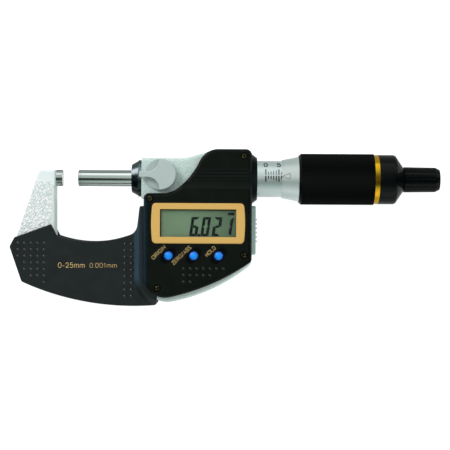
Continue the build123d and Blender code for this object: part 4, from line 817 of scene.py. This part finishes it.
def add_scale(ink, pale_ink):
    """Ticks for every millimetre, paler above the datum, and a numeral at every fifth."""
    sides = (("upper", 1, tick_w, pale_ink), ("lower", -1, lower_tick_w, ink))
    for name, side, width, look in sides:
        ticks = bmesh.new()
        for count in range(scale_length + 1):
            after = count % numeral_every
            half_w = (width if after else long_tick_w) / 2
            x = zero_x + count * mm
            near, far = sorted((side * tick_gap, side * tick_reach[after]))
            outline = [(x - half_w, near), (x + half_w, near), (x + half_w, far), (x - half_w, far)]
            plate(ticks, outline, -print_sink, print_lift)
        wrap(ticks, lambda x: sleeve_r, datum_angle)
        add_piece(f"scale_ticks_{name}", ticks, look, "frame_body")
    numerals = []
    for count in range(0, scale_length + 1, numeral_every):
        text = str(count)
        length = numeral_w * len(text) + numeral_space * (len(text) - 1)
        number = written(text, length, numeral_h, numeral_stroke)
        shift = (zero_x + count * mm, numeral_up + numeral_h / 2, 0)
        bmesh.ops.translate(number, vec=shift, verts=number.verts)
        numerals.append(number)
    numbers = joined(numerals)
    wrap(numbers, lambda x: sleeve_r, datum_angle)
    add_piece("scale_numerals", numbers, ink, "frame_body")


def add_index(ink):
    """Outlined triangle on the thimble's cone, with its tip at the edge."""
    lip_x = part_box("thimble_core")[0].x
    far_x = lip_x + index_l
    corners = [(far_x, 0), (far_x, -index_half), (lip_x, 0), (far_x, index_half), (far_x, 0)]
    bm = bmesh.new()
    ribbon(bm, eased(corners, index_round), index_line, -print_sink, print_lift)
    steep = (cone_end_r - lip_r) / cone_l
    turned = (shown_reading % 1) * mm / lead * math.tau
    wrap(bm, lambda x: lip_r + max(0.0, x - lip_x) * steep, datum_angle - turned)
    add_piece("thimble_index", bm, ink, "spindle_body")


def segment_outlines():
    """The seven mitred bars of an upright digit with its lower left corner at the origin."""
    wide, tall, post, bar, gap = digit_w, digit_h, digit_stroke, digit_bar, digit_gap
    waist = tall / 2
    top = [(gap, tall), (wide - gap, tall), (wide - post - gap, tall - bar), (post + gap, tall - bar)]
    side = [
        (wide, tall - gap), (wide, waist + gap / 2), (wide - post / 2, waist + gap / 2),
        (wide - post, waist + bar / 2 + gap / 2), (wide - post, tall - bar - gap),
    ]
    belt = [
        (post / 2 + gap, waist), (post + gap, waist + bar / 2), (wide - post - gap, waist + bar / 2),
        (wide - post / 2 - gap, waist), (wide - post - gap, waist - bar / 2),
        (post + gap, waist - bar / 2),
    ]
    low_side = [(x, tall - y) for x, y in side]
    return {
        "a": top,
        "b": side,
        "c": low_side,
        "d": [(x, tall - y) for x, y in top],
        "e": [(wide - x, y) for x, y in low_side],
        "f": [(wide - x, y) for x, y in side],
        "g": belt,
    }


def add_reading(ink):
    """The number on the display, in slanted seven-bar digits, with its unit, and a painted shadow along
    the window's top and left edges.
    """
    face_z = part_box("lcd_module")[1].z
    bars = segment_outlines()
    bm = bmesh.new()
    base_y = digits_top - digit_h

    def slanted(points, x):
        """An upright digit's points at their place in the slanted number."""
        return [(x + px + (py - digit_h) * digit_slant, base_y + py) for px, py in points]

    for place, digit in enumerate(reversed(f"{shown_reading:.3f}".replace(".", ""))):
        x = digits_right - digit_w - place * digit_pitch
        for bar in segments_of[digit]:
            plate(bm, slanted(bars[bar], x), face_z, face_z + digit_t)
    x, y = point_at
    half = point_size / 2
    dot = [(x + right * half, y + up * half) for right, up in ((-1, -1), (1, -1), (1, 1), (-1, 1))]
    plate(bm, eased(dot + dot[:1], point_round, point_steps)[:-1], face_z, face_z + digit_t)
    add_piece("display_digits", bm, ink, "frame_body")
    unit = written("mm", unit_w, unit_h, unit_stroke, 0, digit_t)
    bmesh.ops.translate(unit, vec=(*unit_at, face_z), verts=unit.verts)
    add_piece("display_unit", unit, ink, "frame_body")
    # Painted shadow: a dark strip on the display glass along the window's top and left edges.
    edge = bmesh.new()
    (left, low), (right, high) = window_low, window_high
    inner_x, inner_y = left + shadow_strip_left, high - shadow_strip_top
    outline = [
        (left, low), (inner_x, low), (inner_x, inner_y), (right, inner_y), (right, high), (left, high),
    ]
    plate(edge, outline, face_z, face_z + digit_t)
    add_piece("display_painted_shadow", edge, ink, "frame_body")


def add_labels(ink):
    """Words beside the buttons, and the range and step on the cover."""
    for text, (x, y), length in button_labels:
        word = written(text, length * mm, label_h, label_stroke)
        turn = Matrix.Rotation(label_turn, 4, "Z")
        place = Matrix.Translation((x * mm, y * mm, housing_face_z)) @ turn
        bmesh.ops.transform(word, matrix=place, verts=word.verts)
        name = "label_" + text.split("/")[0].lower()
        add_piece(name, word, ink, "frame_body")
    for text, (x, y), length, height, stroke in range_marks:
        word = written(text, length * mm, height * mm, stroke * mm)
        bmesh.ops.translate(word, vec=(x * mm, y * mm, cover_face_z), verts=word.verts)
        name = "range_mark" if "-" in text else "step_mark"
        add_piece(name, word, ink, "frame_body")


def flat_tops(node, top):
    """Middle of each separate flat face that a node has at a level, in the same order each run."""
    bm = bmesh.new()
    bm.from_mesh(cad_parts[node].data)
    bmesh.ops.remove_doubles(bm, verts=bm.verts, dist=same_point)
    waiting = {f for f in bm.faces if all(abs(v.co.z - top) < close_by for v in f.verts)}
    middles = []
    while waiting:
        island, fresh = set(), [waiting.pop()]
        while fresh:
            face = fresh.pop()
            island.update(face.verts)
            near = {f for vert in face.verts for f in vert.link_faces} & waiting
            waiting -= near
            fresh.extend(near)
        xs = [vert.co.x for vert in island]
        ys = [vert.co.y for vert in island]
        middles.append(((min(xs) + max(xs)) / 2, (min(ys) + max(ys)) / 2))
    bm.free()
    return sorted(middles)


def dome(bm, x, y, base_z):
    """A round cap that covers one bump."""
    sphere_r = (crown_r**2 + crown_h**2) / (2 * crown_h)
    rings = []
    for ring in range(crown_rings):
        radius = crown_r * math.cos(math.pi / 2 * ring / crown_rings)
        height = math.sqrt(sphere_r**2 - radius**2) - sphere_r + crown_h
        turns = [math.tau * side / crown_sides for side in range(crown_sides)]
        rings.append([
            bm.verts.new((x + radius * math.cos(turn), y + radius * math.sin(turn), base_z + height))
            for turn in turns
        ])
    tip = bm.verts.new((x, y, base_z + crown_h))
    bm.faces.new(reversed(rings[0]))
    for side in range(crown_sides):
        after = (side + 1) % crown_sides
        for low_ring, high_ring in zip(rings, rings[1:]):
            bm.faces.new((low_ring[side], low_ring[after], high_ring[after], high_ring[side]))
        bm.faces.new((rings[-1][side], rings[-1][after], tip))


def add_crowns(node, name, face_z, look):
    """Round crowns over the bumps that stand on a face of a moulded node."""
    bm = bmesh.new()
    for x, y in flat_tops(node, face_z + bump_h):
        dome(bm, x, y, face_z)
    piece = add_piece(name, bm, look, "frame_body")
    for face in piece.data.polygons:
        face.use_smooth = True


def add_camera():
    """The camera that shows the rest view."""
    data = bpy.data.cameras.new("camera")
    data.lens = camera_lens
    data.sensor_width = camera_sensor
    camera = bpy.data.objects.new("camera", data)
    camera.location = camera_at
    camera.rotation_euler = (0, 0, camera_roll)
    bpy.context.scene.collection.objects.link(camera)
    bpy.context.scene.camera = camera


def add_floor():
    """Pale floor that glows under its shadows; reflections see a map of brightness on it."""
    bm = bmesh.new()
    bmesh.ops.create_grid(bm, x_segments=2, y_segments=2, size=floor_size / 2)
    bmesh.ops.translate(bm, vec=(0, 0, cad_low.z - floor_drop), verts=bm.verts)
    mesh = bpy.data.meshes.new("floor")
    bm.to_mesh(mesh)
    bm.free()
    floor = bpy.data.objects.new("floor", mesh)
    bpy.context.scene.collection.objects.link(floor)
    material = bpy.data.materials.new("floor")
    material.use_nodes = True
    graph = Graph(material.node_tree)
    graph.nodes.clear()
    path = graph.new("LightPath").outputs
    seen = graph.math("MAXIMUM", path["Is Camera Ray"], path["Is Transmission Ray"])
    bounced = graph.math("MULTIPLY", path["Is Diffuse Ray"], floor_bounce)
    strength = graph.math("MULTIPLY", graph.math("MAXIMUM", seen, bounced), floor_glow)
    diffuse = graph.new("BsdfDiffuse", Color=(floor_color, floor_color, floor_color, 1))
    glow = graph.new("Emission", Strength=strength)
    both = graph.new("AddShader", diffuse.outputs["BSDF"], glow.outputs["Emission"])
    place = graph.axes(graph.new("TexCoord").outputs["Object"])
    along = graph.between(place["X"], *floor_ends, "LINEAR")
    start, length = floor_ends[0], floor_ends[1] - floor_ends[0]
    below, above = (
        graph.ramp(along, [((x * mm - start) / length, level) for x, level in stops], floor_tint)
        for stops in (floor_below, floor_above)
    )
    far_below, far_above = (
        (*(level * part for part in floor_tint), 1) for level in (floor_far_below, floor_far_above)
    )
    sides = graph.blend(place["Y"], axis_limits, below, above)
    far = graph.blend(place["Y"], axis_limits, far_below, far_above)
    far_left = graph.blend(place["X"], far_right_end, far, sides)
    out = graph.math("ABSOLUTE", place["Y"])
    around = graph.blend(out, far_limits, sides, far_left)
    beneath = (floor_beneath, floor_beneath, floor_beneath, 1)
    mirrored = graph.new("Emission", Color=graph.blend(out, beneath_limits, beneath, around))
    shaders = (both.outputs["Shader"], mirrored.outputs["Emission"])
    mix = graph.new("MixShader", path["Is Glossy Ray"], *shaders)
    graph.new("OutputMaterial", Surface=mix.outputs["Shader"])
    mesh.materials.append(material)


def add_world():
    """White background for the camera, and soft studio bands for everything it lights."""
    world = bpy.data.worlds.new("studio")
    bpy.context.scene.world = world
    world.use_nodes = True
    graph = Graph(world.node_tree)
    graph.nodes.clear()
    sky_way = graph.new("TexCoord").outputs["Generated"]
    way = graph.axes(sky_way)
    tilt = graph.math("ARCTAN2", way["Y"], way["Z"])
    share = graph.math("ADD", graph.math("MULTIPLY", tilt, 1 / math.tau), 0.5)

    def banded(table):
        """The brightness by angle that a table of bands gives."""
        levels = [((angle + 180) / 360, level) for angle, level in table]
        return graph.ramp(share, levels, shade_tint)

    bands = banded(nose_bands)
    for limits, table in band_zones:
        bands = graph.blend(way["X"], limits, bands, banded(table))
    aside = graph.math("ABSOLUTE", way["X"])
    end_grey = (end_level, end_level, end_level, 1)
    ends = graph.blend(aside, end_limits, banded(middle_bands), end_grey)
    lit = graph.blend(aside, end_limits, bands, end_shine)
    for softbox_way, inner, outer in softboxes:
        aim = graph.new("VectorMath", sky_way, Vector(softbox_way).normalized())
        aim.operation = "DOT_PRODUCT"
        limits = (math.cos(math.radians(outer)), math.cos(math.radians(inner)))
        lit = graph.blend(aim.outputs["Value"], limits, lit, softbox_shine)
    path = graph.new("LightPath").outputs
    seen = graph.math("MAXIMUM", path["Is Camera Ray"], path["Is Transmission Ray"])
    glossy = graph.mix(path["Is Glossy Ray"], ends, lit)
    shown = graph.mix(seen, glossy, white)
    strength = graph.math("MAXIMUM", graph.math("MAXIMUM", path["Is Glossy Ray"], seen), paint_light)
    background = graph.new("Background", Color=shown, Strength=strength)
    graph.new("OutputWorld", Surface=background.outputs["Background"])


def add_lamp(name, place, size, power):
    """A square soft lamp that looks at the middle of the object; reflections see the sky's bands."""
    data = bpy.data.lights.new(name, "AREA")
    data.size = size
    data.energy = power
    lamp = bpy.data.objects.new(name, data)
    lamp.visible_glossy = False
    lamp.location = place
    towards = (cad_low + cad_high) / 2 - Vector(place)
    lamp.rotation_euler = towards.to_track_quat("-Z", "Y").to_euler()
    bpy.context.scene.collection.objects.link(lamp)


bpy.context.scene.view_settings.view_transform = "Standard"
add_camera()
add_world()
add_floor()
add_lamp("key_lamp", key_at, key_size, key_power)
add_lamp("fill_lamp", fill_at, fill_size, fill_power)

dress_nodes(make_looks())
dark_ink = print_look("dark_ink", srgb(58, 64, 66))
pale_ink = print_look("pale_ink", srgb(118, 116, 126))
tan_ink = print_look("tan_ink", srgb(124, 118, 96))
gold_ink = print_look("gold_ink", srgb(242, 208, 140))
lcd_ink = print_look("lcd_ink", srgb(3, 8, 12), roughness=0.4)
add_scale(dark_ink, pale_ink)
add_index(tan_ink)
add_reading(lcd_ink)
add_labels(gold_ink)
# Painted shade: the crowns are darker copies of the plastic round them.
cover_bump = plastic_look("cover_bump", srgb(8, 14, 14), roughness=0.22, specular=0.9)
housing_bump = plastic_look("housing_bump", srgb(5, 9, 8), roughness=0.24, specular=0.5)
add_crowns("front_insulating_cover", "cover_bump_crowns", cover_face_z, cover_bump)
add_crowns("display_housing", "housing_bump_crowns", housing_face_z, housing_bump)
